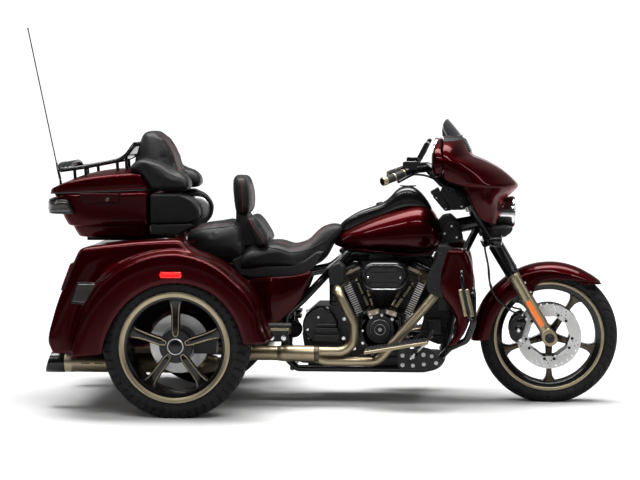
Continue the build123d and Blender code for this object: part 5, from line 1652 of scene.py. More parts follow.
# rider's backrest pad on its stem: (height, rear x, front x, half width)
RPAD = [(874, 226, 252, 84), (882, 216, 263, 104), (898, 208, 276, 122), (930, 203, 280, 138), (970, 199, 278, 142), (1010, 196, 272, 140), (1035, 196, 265, 134), (1052, 199, 259, 120), (1061, 208, 250, 96)]
rings = []
for i in range(25):
    z = lerp(874, 1061, i / 24)
    xr, xf, w = (smooth_at([(r[0], r[j]) for r in RPAD], z) for j in (1, 2, 3))
    ring = []
    for k in range(32):
        t = 2 * pi * k / 32
        cy, ct = spow(cos(t), 0.5), spow(sin(t), 0.62)
        ring.append(P((xr + xf) / 2 + (xf - xr) / 2 * ct + 12 * abs(cy) ** 2.5, w * cy, z))
    rings.append(ring)
rp = loft("rider_backrest_pad", rings)
cushion(rp, "chassis", LEATHER, "rider_backrest", cap=5, second=LEATHER_PAINTED_HIGHLIGHT, where=lambda x, y, z, n: abs(n.y) > 0.55 and x < 262)
st = plate("rider_backrest_stem", [(206, 690), (222, 690), (226, 900), (206, 900)], -32, 32, 3, 3)
give(st, BLACK, "chassis", "gloss_black", "rider_backrest")
# passenger's backrest: (height, rear x, front x, half width)
BPAD = [(1012, -150, -78, 150), (1030, -168, -66, 160), (1060, -198, -62, 168), (1078, -226, -63, 170), (1092, -254, -66, 170), (1104, -268, -70, 168), (1118, -270, -75, 164), (1134, -263, -79, 160), (1150, -256, -83, 156), (1180, -247, -96, 150), (1210, -239, -114, 142), (1240, -231, -134, 130), (1258, -224, -152, 112), (1270, -205, -170, 84)]
rings = []
for i in range(33):
    z = lerp(1012, 1270, i / 32)
    xr, xf, w = (smooth_at([(r[0], r[j]) for r in BPAD], z) for j in (1, 2, 3))
    ring = []
    for k in range(36):
        t = 2 * pi * k / 36
        cy, ct = spow(cos(t), 0.5), spow(sin(t), 0.66)
        bow = 26 * abs(cy) ** 2.4 * (1 if z < 1240 else 0.6)
        x = (xr + xf) / 2 + (xf - xr) / 2 * ct
        ring.append(P(x + (bow if ct > -0.2 else bow * 0.4), w * cy, z))
    rings.append(ring)
bp = loft("passenger_backrest_pad", rings)
cushion(bp, "top_box_lid_body", LEATHER, "passenger_backrest", cap=6, second=LEATHER_PAINTED_HIGHLIGHT, where=lambda x, y, z, n: abs(n.y) > 0.5 and z > 1090 and x < -120 - (z - 1090) * 0.2)
# armrests: each runs from the backrest's foot down and forward; outline, then rounded layers outward
ARM = [(-262, 1092), (-252, 1122), (-208, 1148), (-160, 1138), (-112, 1120), (-60, 1090), (-14, 1076), (14, 1052), (19, 1016), (6, 998), (-60, 996), (-146, 997), (-172, 1030), (-200, 1068), (-236, 1084)]
wx, wz = -100.0, 1056.0
rings = []
for y, inset in ((132, 26), (136, 14), (144, 5), (160, 0), (200, 0), (244, 1), (264, 4), (276, 9), (284, 18), (287, 30)):
    ring = []
    for x, z in rounded(ARM + ARM[:1], 2, 0.22)[:-1]:
        d = hypot(x - wx, z - wz)
        # pulled in evenly toward the pad's middle line
        mz = curve_at([(-262, 1104), (-200, 1108), (-112, 1062), (-30, 1030), (16, 1018)], x)
        ring.append(P(x + inset * 0.6 * (1 if x < wx else -1) * min(1.0, abs(x - wx) / 110), -y, z + max(-inset, min(inset, (mz - z) * 0.8))))
    rings.append(ring)
ar = loft("armrest_right", rings)
al = mirror_copy(ar, "armrest_left")
cushion(ar, "top_box_lid_body", LEATHER, "armrests", cap=3)
cushion(al, "top_box_lid_body", LEATHER, "armrests", cap=3)

# seams: dark-red thread and dark piping thrown on to the covers
seams = Kit()
piping = []


def side_seam(ob, pts, y_from, name=None):
    tree = surface_of(ob)
    for s in (-1, 1):
        line = on_surface(tree, dense_line([P(x, s * y_from, z) for x, z in pts], 8), (0, -s, 0), 0.4)
        if len(line) > 3:
            yield s, line


for s, line in side_seam(saddle, [(250, 716), (300, 722), (360, 736), (413, 731), (475, 712), (528, 716), (581, 734), (640, 770), (670, 800)], 400):
    piping.append((f"saddle_piping_{'right' if s < 0 else 'left'}", line))
for s, line in side_seam(saddle, [(480, 722), (530, 732), (575, 764), (612, 806), (660, 826)], 400):
    stitch(seams, line)
for s, line in side_seam(bol, [(272, 884), (302, 832), (338, 782), (358, 756)], 400):
    stitch(seams, line)
for s, line in side_seam(rp, [(246, 884), (250, 930), (247, 990), (242, 1040), (238, 1056)], 400):
    stitch(seams, line)
for s, line in side_seam(ps, [(8, 800), (70, 816), (150, 824), (206, 834), (226, 812), (238, 786)], 400):
    piping.append((f"passenger_piping_{'right' if s < 0 else 'left'}", line))
lid_seams = Kit()
tree = surface_of(bp)
for y in (-104, -62, 62, 104):
    line = on_surface(tree, dense_line([P(100, y, z) for z in range(1050, 1256, 12)], 8), (-1, 0, 0), 0.4)
    stitch(lid_seams, line)
for z in (1092,):
    line = on_surface(tree, dense_line([P(100, y, z) for y in range(-140, 141, 20)], 8), (-1, 0, 0), 0.4)
    stitch(lid_seams, line)
tree = surface_of(rp)
for y in (-86, 86):
    line = on_surface(tree, dense_line([P(500, y, z) for z in range(900, 1050, 12)], 8), (-1, 0, 0), 0.4)
    stitch(seams, line)
tree = surface_of(saddle)
for y in (-112, 112):
    line = on_surface(tree, dense_line([P(x, y * (1 if x < 520 else max(0.45, 1 - (x - 520) / 260)), 1200) for x in range(385, 660, 12)], 8), (0, 0, -1), 0.4)
    stitch(seams, line)
tree = surface_of(ps)
for y in (-118, 118):
    line = on_surface(tree, dense_line([P(x, y, 1200) for x in range(10, 205, 12)], 8), (0, 0, -1), 0.4)
    stitch(seams, line)
give(seams.build("seat_stitching"), THREAD, "chassis", "leather")
give(lid_seams.build("backrest_stitching"), THREAD, "top_box_lid_body", "leather")
for name, line in piping:
    give(wire(name, line, 2.2, res=3, ring=3), LEATHER, "chassis", "leather")

# moulded skirts that carry the seat pan down to the side covers, and the foot of the rider's backrest
sk = plate("seat_skirt_right", [(198, 676), (212, 640), (238, 604), (296, 592), (392, 592), (511, 600), (562, 618), (596, 660), (630, 716), (596, 716), (540, 676), (470, 652), (380, 650), (300, 664), (250, 700)], -112, -172, 10, 4)
give_both(sk, "seat_skirt_left", PLASTIC, "chassis", "black_plastic")
ob = plate("backrest_foot", [(222, 884), (236, 893), (262, 888), (282, 852), (306, 806), (318, 764), (306, 738), (250, 732), (228, 760)], -98, 98, 10, 4)
give(ob, PLASTIC, "chassis", "black_plastic")


# ------------------------------------------------------------------ engine
CRX, CRZ, VEE, VEX = 890.0, 335.0, radians(24), 903.0


def vee(s, r, t, y):
    """r along a cylinder from the foot of the vee, t forward across it."""
    x = VEX + s * r * sin(VEE) + t * cos(VEE)
    x = max(x, VEX + 2) if s > 0 else min(x, VEX - 2)
    return P(x, y, CRZ + r * cos(VEE) - s * t * sin(VEE))


def add_rings(kit, rings):
    n = len(rings[0])
    verts = [v for r in rings for v in r]
    faces = [(i * n + j, i * n + (j + 1) % n, (i + 1) * n + (j + 1) % n, (i + 1) * n + j) for i in range(len(rings) - 1) for j in range(n)]
    faces += [tuple(reversed(range(n))), tuple((len(rings) - 1) * n + j for j in range(n))]
    kit.add(verts, faces)


def slab(kit, s, levels, p=0.4, n=40):
    """Stacked sections of a cylinder: (r, inner edge, outer edge, half width)."""
    rings_ = []
    for r, inner, outer, hy in levels:
        c, h = s * (inner + outer) / 2, (outer - inner) / 2
        rings_.append([vee(s, r, c + h * spow(cos(2 * pi * k / n), p), hy * spow(sin(2 * pi * k / n), p)) for k in range(n)])
    add_rings(kit, rings_)


def strip(kit, s, r0, r1, a0, a1, y0, y1):
    """A straight bar on the side of a cylinder between two heights and two distances out."""
    t0, t1 = sorted((s * a0, s * a1))
    v = [vee(s, rr, t, y) for rr in (r0, r1) for t in (t0, t1) for y in (y0, y1)]
    kit.add(v, [(0, 1, 3, 2), (4, 6, 7, 5), (0, 4, 5, 1), (2, 3, 7, 6), (0, 2, 6, 4), (1, 5, 7, 3)])


FIN_PITCH, FINS = 10.4, 14
for s, side in ((-1, "rear"), (1, "front")):
    k = Kit()
    slab(k, s, [(96, -66, 66, 68), (112, -66, 66, 68), (114, -57, 72, 59), (268, -57, 72, 59)])
    for i in range(FINS):
        r, o = 118 + i * FIN_PITCH, 86
        slab(k, s, [(r, -68, o - 2, 70.5), (r + 0.8, -70, o, 73), (r + 3.0, -70, o, 73), (r + 3.8, -68, o - 2, 70.5)])
    slab(k, s, [(268, -72, 84, 72), (271, -74, 86, 74), (280, -74, 87, 74), (282, -64, 77, 64), (288, -64, 77, 64), (290, -74, 88, 74), (296, -74, 89, 74), (298, -64, 79, 64), (304, -64, 80, 64), (306, -74, 90, 74), (315, -74, 91, 74), (318, -70, 87, 70)])
    give(k.build(f"cylinder_{side}"), ENGINE, "chassis", "engine_black", "cylinders")
    # bright machined fin faces on both sides
    k = Kit()
    for i in range(FINS + 3):
        r = 117.6 + i * FIN_PITCH
        for y0, y1 in ((-75.0, -68), (68, 75.0)):
            strip(k, s, r, r + 4.6, 51, 85, y0, y1)
    give(k.build(f"fin_faces_{side}", False, None), MACHINED, "chassis", "steel", "cylinders")
    # rocker box in three steps with a bronze strip
    k = Kit()
    slab(k, s, [(318, -34, 96, 62), (320, -37, 100, 66), (332, -37, 101, 66), (335, -33, 96, 62), (338, -33, 96, 62), (342, -36, 98, 64), (357, -34, 95, 62), (364, -28, 87, 56), (369, -16, 73, 44)])
    give(k.build(f"rocker_box_{side}"), BLACK, "chassis", "gloss_black", "cylinders")
    k = Kit()
    for ya, yb in ((-75.5, -66), (66, 75.5)):
        strip(k, s, 314, 327, -20, 60, ya, yb)
    ob = k.build(f"rocker_strip_{side}", True, None)
    bevel(ob, 1.5, 2)
    give(ob, BRONZE, "chassis", "bronze", "cylinders")
    k = Kit()
    for t in (-18, 14, 50, 80):
        for ys in (-1, 1):
            k.bolt(vee(s, 363, s * t, ys * 36), vee(s, 370, s * t, 0) - vee(s, 360, s * t, 0), 6, 7, True)
    give(k.build(f"rocker_bolts_{side}"), CHROME, "chassis", "steel")

# pushrod tubes with collars, and lifter blocks
k, c = Kit(), Kit()
for (x0, z0), (x1, z1) in (((772, 584), (838, 450)), ((818, 560), (856, 450)), ((1038, 567), (952, 444)), ((985, 545), (938, 450))):
    p, q = P(x0, -84, z0), P(x1, -128, z1)
    k.rod(p, q, 6.5, 18)
    for f in (0.12, 0.55, 0.93):
        m = p.lerp(q, f)
        c.turned(m - (q - p).normalized() * 0.005, m + (q - p).normalized() * 0.005, [(0, 7), (1.5, 9.5), (8.5, 9.5), (10, 7)], 20)
give(k.build("pushrod_tubes"), BRONZE, "chassis", "bronze")
give(c.build("pushrod_collars"), BLACK, "chassis", "gloss_black")
lb = [plate("lifter_block_rear", [(828, 438), (886, 453), (884, 428), (833, 413)], -164, -112, 4, 3), plate("lifter_block_front", [(912, 453), (968, 436), (963, 411), (915, 428)], -164, -112, 4, 3)]
for o in lb:
    give(o, BRONZE, "chassis", "bronze")
k = Kit()
for x, z in ((842, 428), (873, 436), (924, 438), (953, 428)):
    k.bolt(P(x, -164, z), (0, -1, 0), 4.5, 4, True)
give(k.build("lifter_bolts"), CHROME, "chassis", "steel")

# crankcase side: stepped gear cover, ringed round cover, screws
ob = plate("gear_case_cover", [(806, 440), (972, 440), (990, 404), (984, 340), (962, 286), (930, 258), (884, 250), (838, 258), (808, 290), (792, 340), (790, 404)], -118, -160, 14, 5)
give(ob, BLACK, "chassis", "gloss_black")
k = Kit()
k.turned(P(889, -150, 357), P(889, -190, 357), [(0, 66), (12, 66), (15, 63), (15, 50), (12, 47)], 80)
give(k.build("gear_case_ring"), ENGINE, "chassis", "engine_black")
RX, RZ = 889, 357
k = Kit()
k.turned(P(RX, -158, RZ), P(RX, -200, RZ), [(0, 46), (12, 46), (17, 43.5), (20, 39), (20, 35.5), (15, 34), (15, 27), (20, 25.5), (22, 22), (22, 18), (18, 16.5), (18, 1)], 80)
give(k.build("ringed_cover"), BLACK, "chassis", "gloss_black")
k = Kit()
for R, y, r in ((45.2, -174.5, 1.3), (37.2, -178.2, 1.4), (23.8, -179.6, 1.2)):
    k.torus(P(RX, y, RZ), (0, 1, 0), R, r, 72, 8)
k.turned(P(RX, -175, RZ), P(RX, -186, RZ), [(0, 9), (5, 9), (7, 7.5), (8, 4), (8, 1)], 40)
for i in range(5):
    a0 = radians(90 + 72 * i)
    k.bolt(P(RX + 30.5 * cos(a0), -172.5, RZ + 30.5 * sin(a0)), (0, -1, 0), 3.4, 4)
give(k.build("ringed_cover_trim"), SILVER, "chassis", "steel")
k = Kit()
for x, z, y in ((847, 412, -160), (896, 421, -160), (944, 404, -160), (808, 350, -158), (809, 292, -158), (971, 346, -158), (850, 262, -158), (930, 262, -158), (966, 300, -158)):
    k.bolt(P(x, y, z), (0, -1, 0), 6, 6, True)
for x, z in ((775, 400), (768, 330), (768, 262), (1008, 390), (1014, 320), (1012, 255), (800, 228), (890, 226), (980, 228)):
    k.bolt(P(x, -122, z), (0, -1, 0), 6, 6, True)
give(k.build("case_screws"), CHROME, "chassis", "steel")
# oil filter and lines in front of the case
of_ = turned("oil_filter", P(1024, -60, 300), P(1098, -60, 300), [(0, 34), (4, 38), (60, 38), (68, 34), (72, 24), (72, 1)], 48)
give(of_, BLACK, "chassis", "gloss_black")
k = Kit()
for i in range(14):
    a0 = 2 * pi * i / 14
    k.rod(P(1078, -60 + 37.5 * cos(a0), 300 + 37.5 * sin(a0)), P(1092, -60 + 35.5 * cos(a0), 300 + 35.5 * sin(a0)), 2.6, 8)
give(k.build("oil_filter_flutes"), BLACK, "chassis", "gloss_black")

# air cleaner: oval body, serrated ring, dished face with level flats
AX, AZ = 910.0, 605.0


def oval_ring(length, height, y, n=96, ox=0, oz=0):
    h = height / 2
    e = length / 2 - h
    pts = []
    per = 2 * pi * h + 4 * e
    for i in range(n):
        d = per * i / n
        if d < pi * h:
            a0 = pi / 2 - d / h
            pts.append((e + h * cos(a0), h * sin(a0)))
        elif d < pi * h + 2 * e:
            pts.append((e - (d - pi * h), -h))
        elif d < 2 * pi * h + 2 * e:
            a0 = -pi / 2 - (d - pi * h - 2 * e) / h
            pts.append((-e + h * cos(a0), h * sin(a0)))
        else:
            pts.append((-e + (d - 2 * pi * h - 2 * e), h))
    return [P(AX + x + ox, y, AZ + z + oz) for x, z in pts]


k = Kit()
add_rings(k, [oval_ring(214, 128, -150), oval_ring(226, 140, -156), oval_ring(226, 140, -176), oval_ring(222, 136, -180)])
give(k.build("air_cleaner_back"), BLACK, "chassis", "gloss_black", "air_cleaner")
k = Kit()
N = 132
pts_o, pts_i = oval_ring(234, 148, 0, N), oval_ring(222, 136, 0, N)
for i in range(N):
    if i % 2:
        continue
    a0, b0 = pts_o[i], pts_o[(i + 1) % N]
    a1, b1 = pts_i[i], pts_i[(i + 1) % N]
    v = [(p.x, y / 1000, p.z) for y in (-178, -236) for p in (a0, b0, b1, a1)]
    k.add(v, [(3, 2, 1, 0), (4, 5, 6, 7), (0, 1, 5, 4), (1, 2, 6, 5), (2, 3, 7, 6), (3, 0, 4, 7)])
give(k.build("air_cleaner_teeth", False, None), BLACK, "chassis", "gloss_black", "air_cleaner")
k = Kit()
add_rings(k, [oval_ring(216, 130, -176), oval_ring(224, 138, -180), oval_ring(224, 138, -232), oval_ring(220, 134, -240), oval_ring(208, 122, -247), oval_ring(196, 110, -249), oval_ring(188, 102, -247), oval_ring(184, 98, -242), oval_ring(60, 20, -242)])
give(k.build("air_cleaner_cover"), BLACK, "chassis", "gloss_black", "air_cleaner")
k = Kit()
add_rings(k, [oval_ring(183, 97, -240), oval_ring(183, 97, -244), oval_ring(179, 93, -246.5), oval_ring(60, 12, -246.5)])
give(k.build("air_cleaner_dish"), PLASTIC, "chassis", "black_plastic", "air_cleaner")
# three level bars across the dish
for i, (z0, z1, half) in enumerate(((26, 40, 62), (-20, 22, 84), (-42, -26, 62))):
    ob = plate(f"air_cleaner_bar_{i}", [(AX - half, AZ + z0), (AX - half + 6, AZ + z1), (AX + half - 6, AZ + z1), (AX + half, AZ + z0)], -242, -250.5, 2.2, 3)
    give(ob, ENGINE, "chassis", "engine_black", "air_cleaner")
k = Kit()
for x in (-74, 74):
    k.bolt(P(AX + x, -250, AZ + 1), (0, -1, 0), 5, 2.5)
k.torus(P(AX, -246, AZ), (0, 1, 0), 0.1, 0.1, 8, 6)
give(k.build("air_cleaner_screws"), CHROME, "chassis", "steel", "air_cleaner")

# gearbox side: round cover, ribbed plate, screws
k = Kit()
k.turned(P(610, -120, 372), P(610, -175, 372), [(0, 82), (24, 82), (32, 77), (36, 68), (36, 40), (33, 36), (33, 1)], 80)
give(k.build("gearbox_cover"), BLACK, "chassis", "gloss_black")
for i, (z0, z1, x0, x1) in enumerate(((372, 382, 592, 690), (340, 362, 582, 698), (296, 330, 576, 704))):
    ob = plate(f"gearbox_rib_{i}", [(x0, z0), (x0 + 5, z1), (x1 - 5, z1), (x1, z0)], -150, -172, 5, 3)
    give(ob, ENGINE, "chassis", "engine_black")
k = Kit()
for x, z in ((640, 448), (548, 436), (603, 410), (676, 406), (553, 353), (560, 313), (717, 309), (720, 400), (560, 240), (640, 232), (725, 240)):
    k.bolt(P(x, -157 if hypot(x - 610, z - 372) < 74 else -123, z), (0, -1, 0), 7, 6, True)
give(k.build("gearbox_screws"), CHROME, "chassis", "steel")
# left side: primary cover with raised rim, round plates and screws
k = Kit()
for x, R in ((598, 52), (900, 66)):
    k.turned(P(x, 226, 335), P(x, 240, 335), [(0, R), (3, R), (5, R - 3), (5, R - 12), (3, R - 14), (3, 1)], 72)
give(k.build("primary_plates"), BLACK, "chassis", "gloss_black")
k = Kit()
for x, z in ((560, 395), (640, 424), (770, 424), (900, 424), (985, 400), (1010, 335), (985, 270), (900, 246), (770, 246), (640, 246), (560, 272), (530, 335)):
    k.bolt(P(x, 224, z), (0, 1, 0), 6, 8, True)
give(k.build("primary_screws"), CHROME, "chassis", "steel")

# ------------------------------------------------------------------ exhaust
k = Kit()
for p, q, r in ((P(612, -240, 252), P(588, -240, 252), 36.5), (P(300, -240, 252), P(284, -240, 252), 35.5)):
    L = (q - p).length * 1000
    k.turned(p, q, [(0, r - 1), (1.5, r), (L - 1.5, r), (L, r - 1)], 48)
give(k.build("collector_bands"), DARK_BRONZE, "chassis", "bronze")
sh = turned("collector_sleeve", P(600, -240, 252), P(420, -240, 252), [(0, 34), (2, 36), (90, 37.5), (150, 37), (178, 34.5), (180, 33)], 64)
give(sh, BRONZE, "chassis", "bronze")
k = Kit()
for p, q in ((P(714, -76, 575.4), P(708, -100, 572)), (P(1080, -72, 592), P(1096, -93, 590.5))):
    k.turned(p, q, [(0, 26), (3, 29), (10, 29), (12, 26), (18, 25)], 40)
give(k.build("header_flanges"), DARK_BRONZE, "chassis", "bronze")
for s, side in ((-1, "right"), (1, "left")):
    k = Kit()
    k.turned(P(154, s * 330, 214.5), P(-560, s * 330, 214.5), [(0, 27), (2, 34), (40, 43), (60, 46), (64, 46.2), (66, 45.3), (660, 45.3), (662, 46.6), (676, 46.6), (678, 45.3), (714, 45.3)], 64)
    give(k.build(f"muffler_shell_{side}"), BRONZE, "chassis", "bronze", "mufflers")
    # slanted black tip with a bore
    rings = []
    for t, r, slant in ((-548, 45.8, 0), (-552, 47.5, 0), (-600, 48, 0.4), (-626, 48, 0.9), (-636, 46.5, 1.0), (-637, 43, 1.0), (-630, 41.5, 1.0), (-560, 40, 0), (-556, 4, 0)):
        ring = []
        for j in range(48):
            a0 = 2 * pi * j / 48
            ring.append(P(t + slant * 26 * (sin(a0) * 0.5 + 0.5) - slant * 2, s * 330 + r * cos(a0), 214.5 + r * sin(a0)))
        rings.append(ring)
    tip = loft(f"muffler_tip_{side}", rings, True, False, True, 40)
    give(tip, BLACK, "chassis", "gloss_black", "mufflers")
    # long slots on the shell, drawn as raised dark-bronze strips: painted shade in the slots
    k = Kit()
    for i in range(5):
        x = -180 - i * 62
        k.turned(P(x, s * 376, 214.5), P(x - 42, s * 376, 214.5), [(0, 0.2), (3, 2.4), (39, 2.4), (42, 0.2)], 12)
    give(k.build(f"muffler_slots_{side}"), DARK_BRONZE, "chassis", "bronze")

# ------------------------------------------------------------------ filling in round the engine
ob = plate("neck_cover", [(1128, 742), (1146, 846), (1174, 880), (1212, 886), (1238, 862), (1262, 808), (1272, 764), (1240, 752)], -54, 54, 9, 4)
give(ob, PLASTIC, "chassis", "black_plastic")
for s, side in ((-1, "right"), (1, "left")):
    ob = plate(f"neck_gusset_{side}", [(1160, 790), (1200, 846), (1222, 848), (1246, 806), (1262, 764), (1210, 760)], s * 52, s * 62, 4, 3)
    give(ob, ENGINE, "chassis", "engine_black")
    k = Kit()
    for x, z in ((1184, 796), (1216, 830), (1240, 778)):
        k.bolt(P(x, s * 61, z), (0, s, 0), 6, 6, True)
    give(k.build(f"neck_gusset_bolts_{side}"), CHROME, "chassis", "steel")
ut = plate("engine_top_mount", [(700, 700), (1120, 686), (1136, 704), (1110, 716), (1000, 712), (720, 728), (690, 716)], -66, 66, 6, 3)
give(ut, ENGINE, "chassis", "engine_black")
ob = plate("wiring_box", [(832, 676), (838, 704), (944, 704), (950, 676)], -104, 60, 7, 3)
give(ob, PLASTIC, "chassis", "black_plastic")
# cover in the vee, and the ribbed oil tank behind the rear cylinder
ob = plate("vee_cover", [(792, 664), (1014, 664), (990, 570), (952, 470), (922, 424), (884, 424), (854, 470), (816, 570)], -60, 60, 6, 3)
give(ob, PLASTIC, "chassis", "black_plastic")
ob = plate("oil_tank", [(650, 470), (662, 440), (716, 440), (722, 480), (716, 560), (716, 660), (700, 694), (676, 684), (654, 640), (650, 560)], -112, 112, 14, 5)
give(ob, BLACK, "chassis", "gloss_black")
k = Kit()
for z in (480, 510, 540, 570):
    for s in (-1, 1):
        k.rod(P(662, s * 113, z), P(706, s * 113, z), 3.5, 10)
give(k.build("oil_tank_ribs"), BLACK, "chassis", "gloss_black")
# baffle behind the cylinders, and the cover over the heads
ob = plate("engine_baffle", [(706, 440), (694, 560), (690, 676), (706, 692), (1118, 690), (1134, 672), (1150, 560), (1146, 500), (1090, 430), (1000, 400), (800, 400)], 26, 44, 5, 3)
give(ob, PLASTIC, "chassis", "black_plastic")
ob = plate("head_cover", [(700, 620), (704, 676), (740, 690), (1090, 688), (1122, 672), (1126, 620), (1060, 600), (760, 600)], -42, 42, 9, 3)
give(ob, PLASTIC, "chassis", "black_plastic")
# covers over the exhaust ports, tray under the engine
ob = plate("rear_port_cover", [(656, 566), (650, 626), (664, 656), (700, 672), (726, 648), (728, 582), (704, 560), (676, 556)], -84, -206, 11, 4)
give(ob, PLASTIC, "chassis", "black_plastic")
ob = plate("lower_frame_cover", [(548, 170), (1150, 170), (1172, 184), (1176, 222), (1150, 232), (560, 220)], -134, 134, 6, 3)
give(ob, PLASTIC, "chassis", "black_plastic")
cl = Kit()
cl.box(P(1150, -112, 440), P(1196, 112, 640))
ob = cl.build("oil_cooler", True, None)
bevel(ob, 6, 3)
give(ob, ENGINE, "chassis", "engine_black")
k = Kit()
for i in range(26):
    z = 448 + i * 7.4
    k.box(P(1195, -104, z), P(1201, 104, z + 2.0))
give(k.build("oil_cooler_fins", False, None), MACHINED, "chassis", "steel")
for s, side in ((-1, "right"), (1, "left")):
    give(wire(f"oil_hose_{side}", [P(1165, s * 80, 446), P(1150, s * 92, 400), P(1090, s * 96, 340), P(1040, s * 100, 300), P(1020, s * 100, 280)], 9), RUBBER, "chassis", "rubber")
    give(wire(f"wiring_loom_{side}", [P(1250, s * 30, 790), P(1180, s * 52, 740), P(1100, s * 70, 700), P(1000, s * 76, 690), P(900, s * 80, 694), P(800, s * 84, 706), P(740, s * 84, 700), P(700, s * 84, 672), P(668, s * 80, 640), P(640, s * 70, 612)], 8), RUBBER, "chassis", "rubber")
# shroud between the down tubes with cooling ribs, and a finned regulator on each side
ob = plate("engine_shroud", [(1150, 660), (1222, 660), (1232, 560), (1226, 470), (1226, 360), (1218, 292), (1160, 280), (1108, 300), (1068, 322), (1082, 374), (1092, 436), (1126, 490), (1142, 540)], -104, 104, 9, 4)
give(ob, PLASTIC, "chassis", "black_plastic")
k = Kit()
for s in (-1, 1):
    for i in range(11):
        z = 322 + 18 * i
        x0 = curve_at([(300, 1112), (322, 1082), (374, 1092), (436, 1102), (490, 1136), (540, 1152)], z)
        k.rod(P(x0, s * 104, z), P(1214, s * 104, z), 4.5, 10)
give(k.build("engine_shroud_ribs"), ENGINE, "chassis", "engine_black")
for s, side in ((-1, "right"), (1, "left")):
    ob = plate(f"regulator_{side}", [(1112, 330), (1108, 398), (1168, 402), (1172, 334)], s * 100, s * 136, 5, 3)
    give(ob, ENGINE, "chassis", "engine_black")
    k = Kit()
    for i in range(6):
        k.rod(P(1116 + 9.5 * i, s * 136, 340), P(1114 + 9.5 * i, s * 136, 394), 2.4, 8)
    give(k.build(f"regulator_fins_{side}"), ENGINE, "chassis", "engine_black")
# bracket plate for the brake pedal, low at the right
bk = plate("pedal_bracket", [(970, 252), (984, 268), (1098, 280), (1120, 274), (1176, 228), (1172, 202), (1155, 183), (990, 175), (972, 192)], -208, -198, 3, 3)
give(bk, ENGINE, "chassis", "engine_black")
k = Kit()
for x, z, r in ((994, 242, 10), (1040, 236, 10), (1090, 246, 10), (1128, 240, 9), (1148, 208, 9), (1092, 202, 9), (1042, 196, 9), (994, 198, 10)):
    k.bolt(P(x, -208, z), (0, -1, 0), r * 0.78, 8, True)
give(k.build("pedal_bracket_bolts"), SILVER, "chassis", "steel")
pd_ = wire("brake_pedal", [P(1030, -204, 226), P(1060, -214, 262), P(1100, -232, 300), P(1128, -262, 345)], 7)
give(pd_, CHROME, "chassis", "steel")
pp = plate("brake_pedal_pad", [(1108, 330), (1132, 368), (1142, 362), (1118, 324)], -300, -240, 4, 3)
give(pp, RUBBER, "chassis", "rubber")


# ------------------------------------------------------------------ fork
FORK_SLOPE = tan(radians(30.5))


def leg_x(z):
    return 1670.0 - (z - 319.3) * FORK_SLOPE


def on_leg(z, y):
    return P(leg_x(z), y, z)


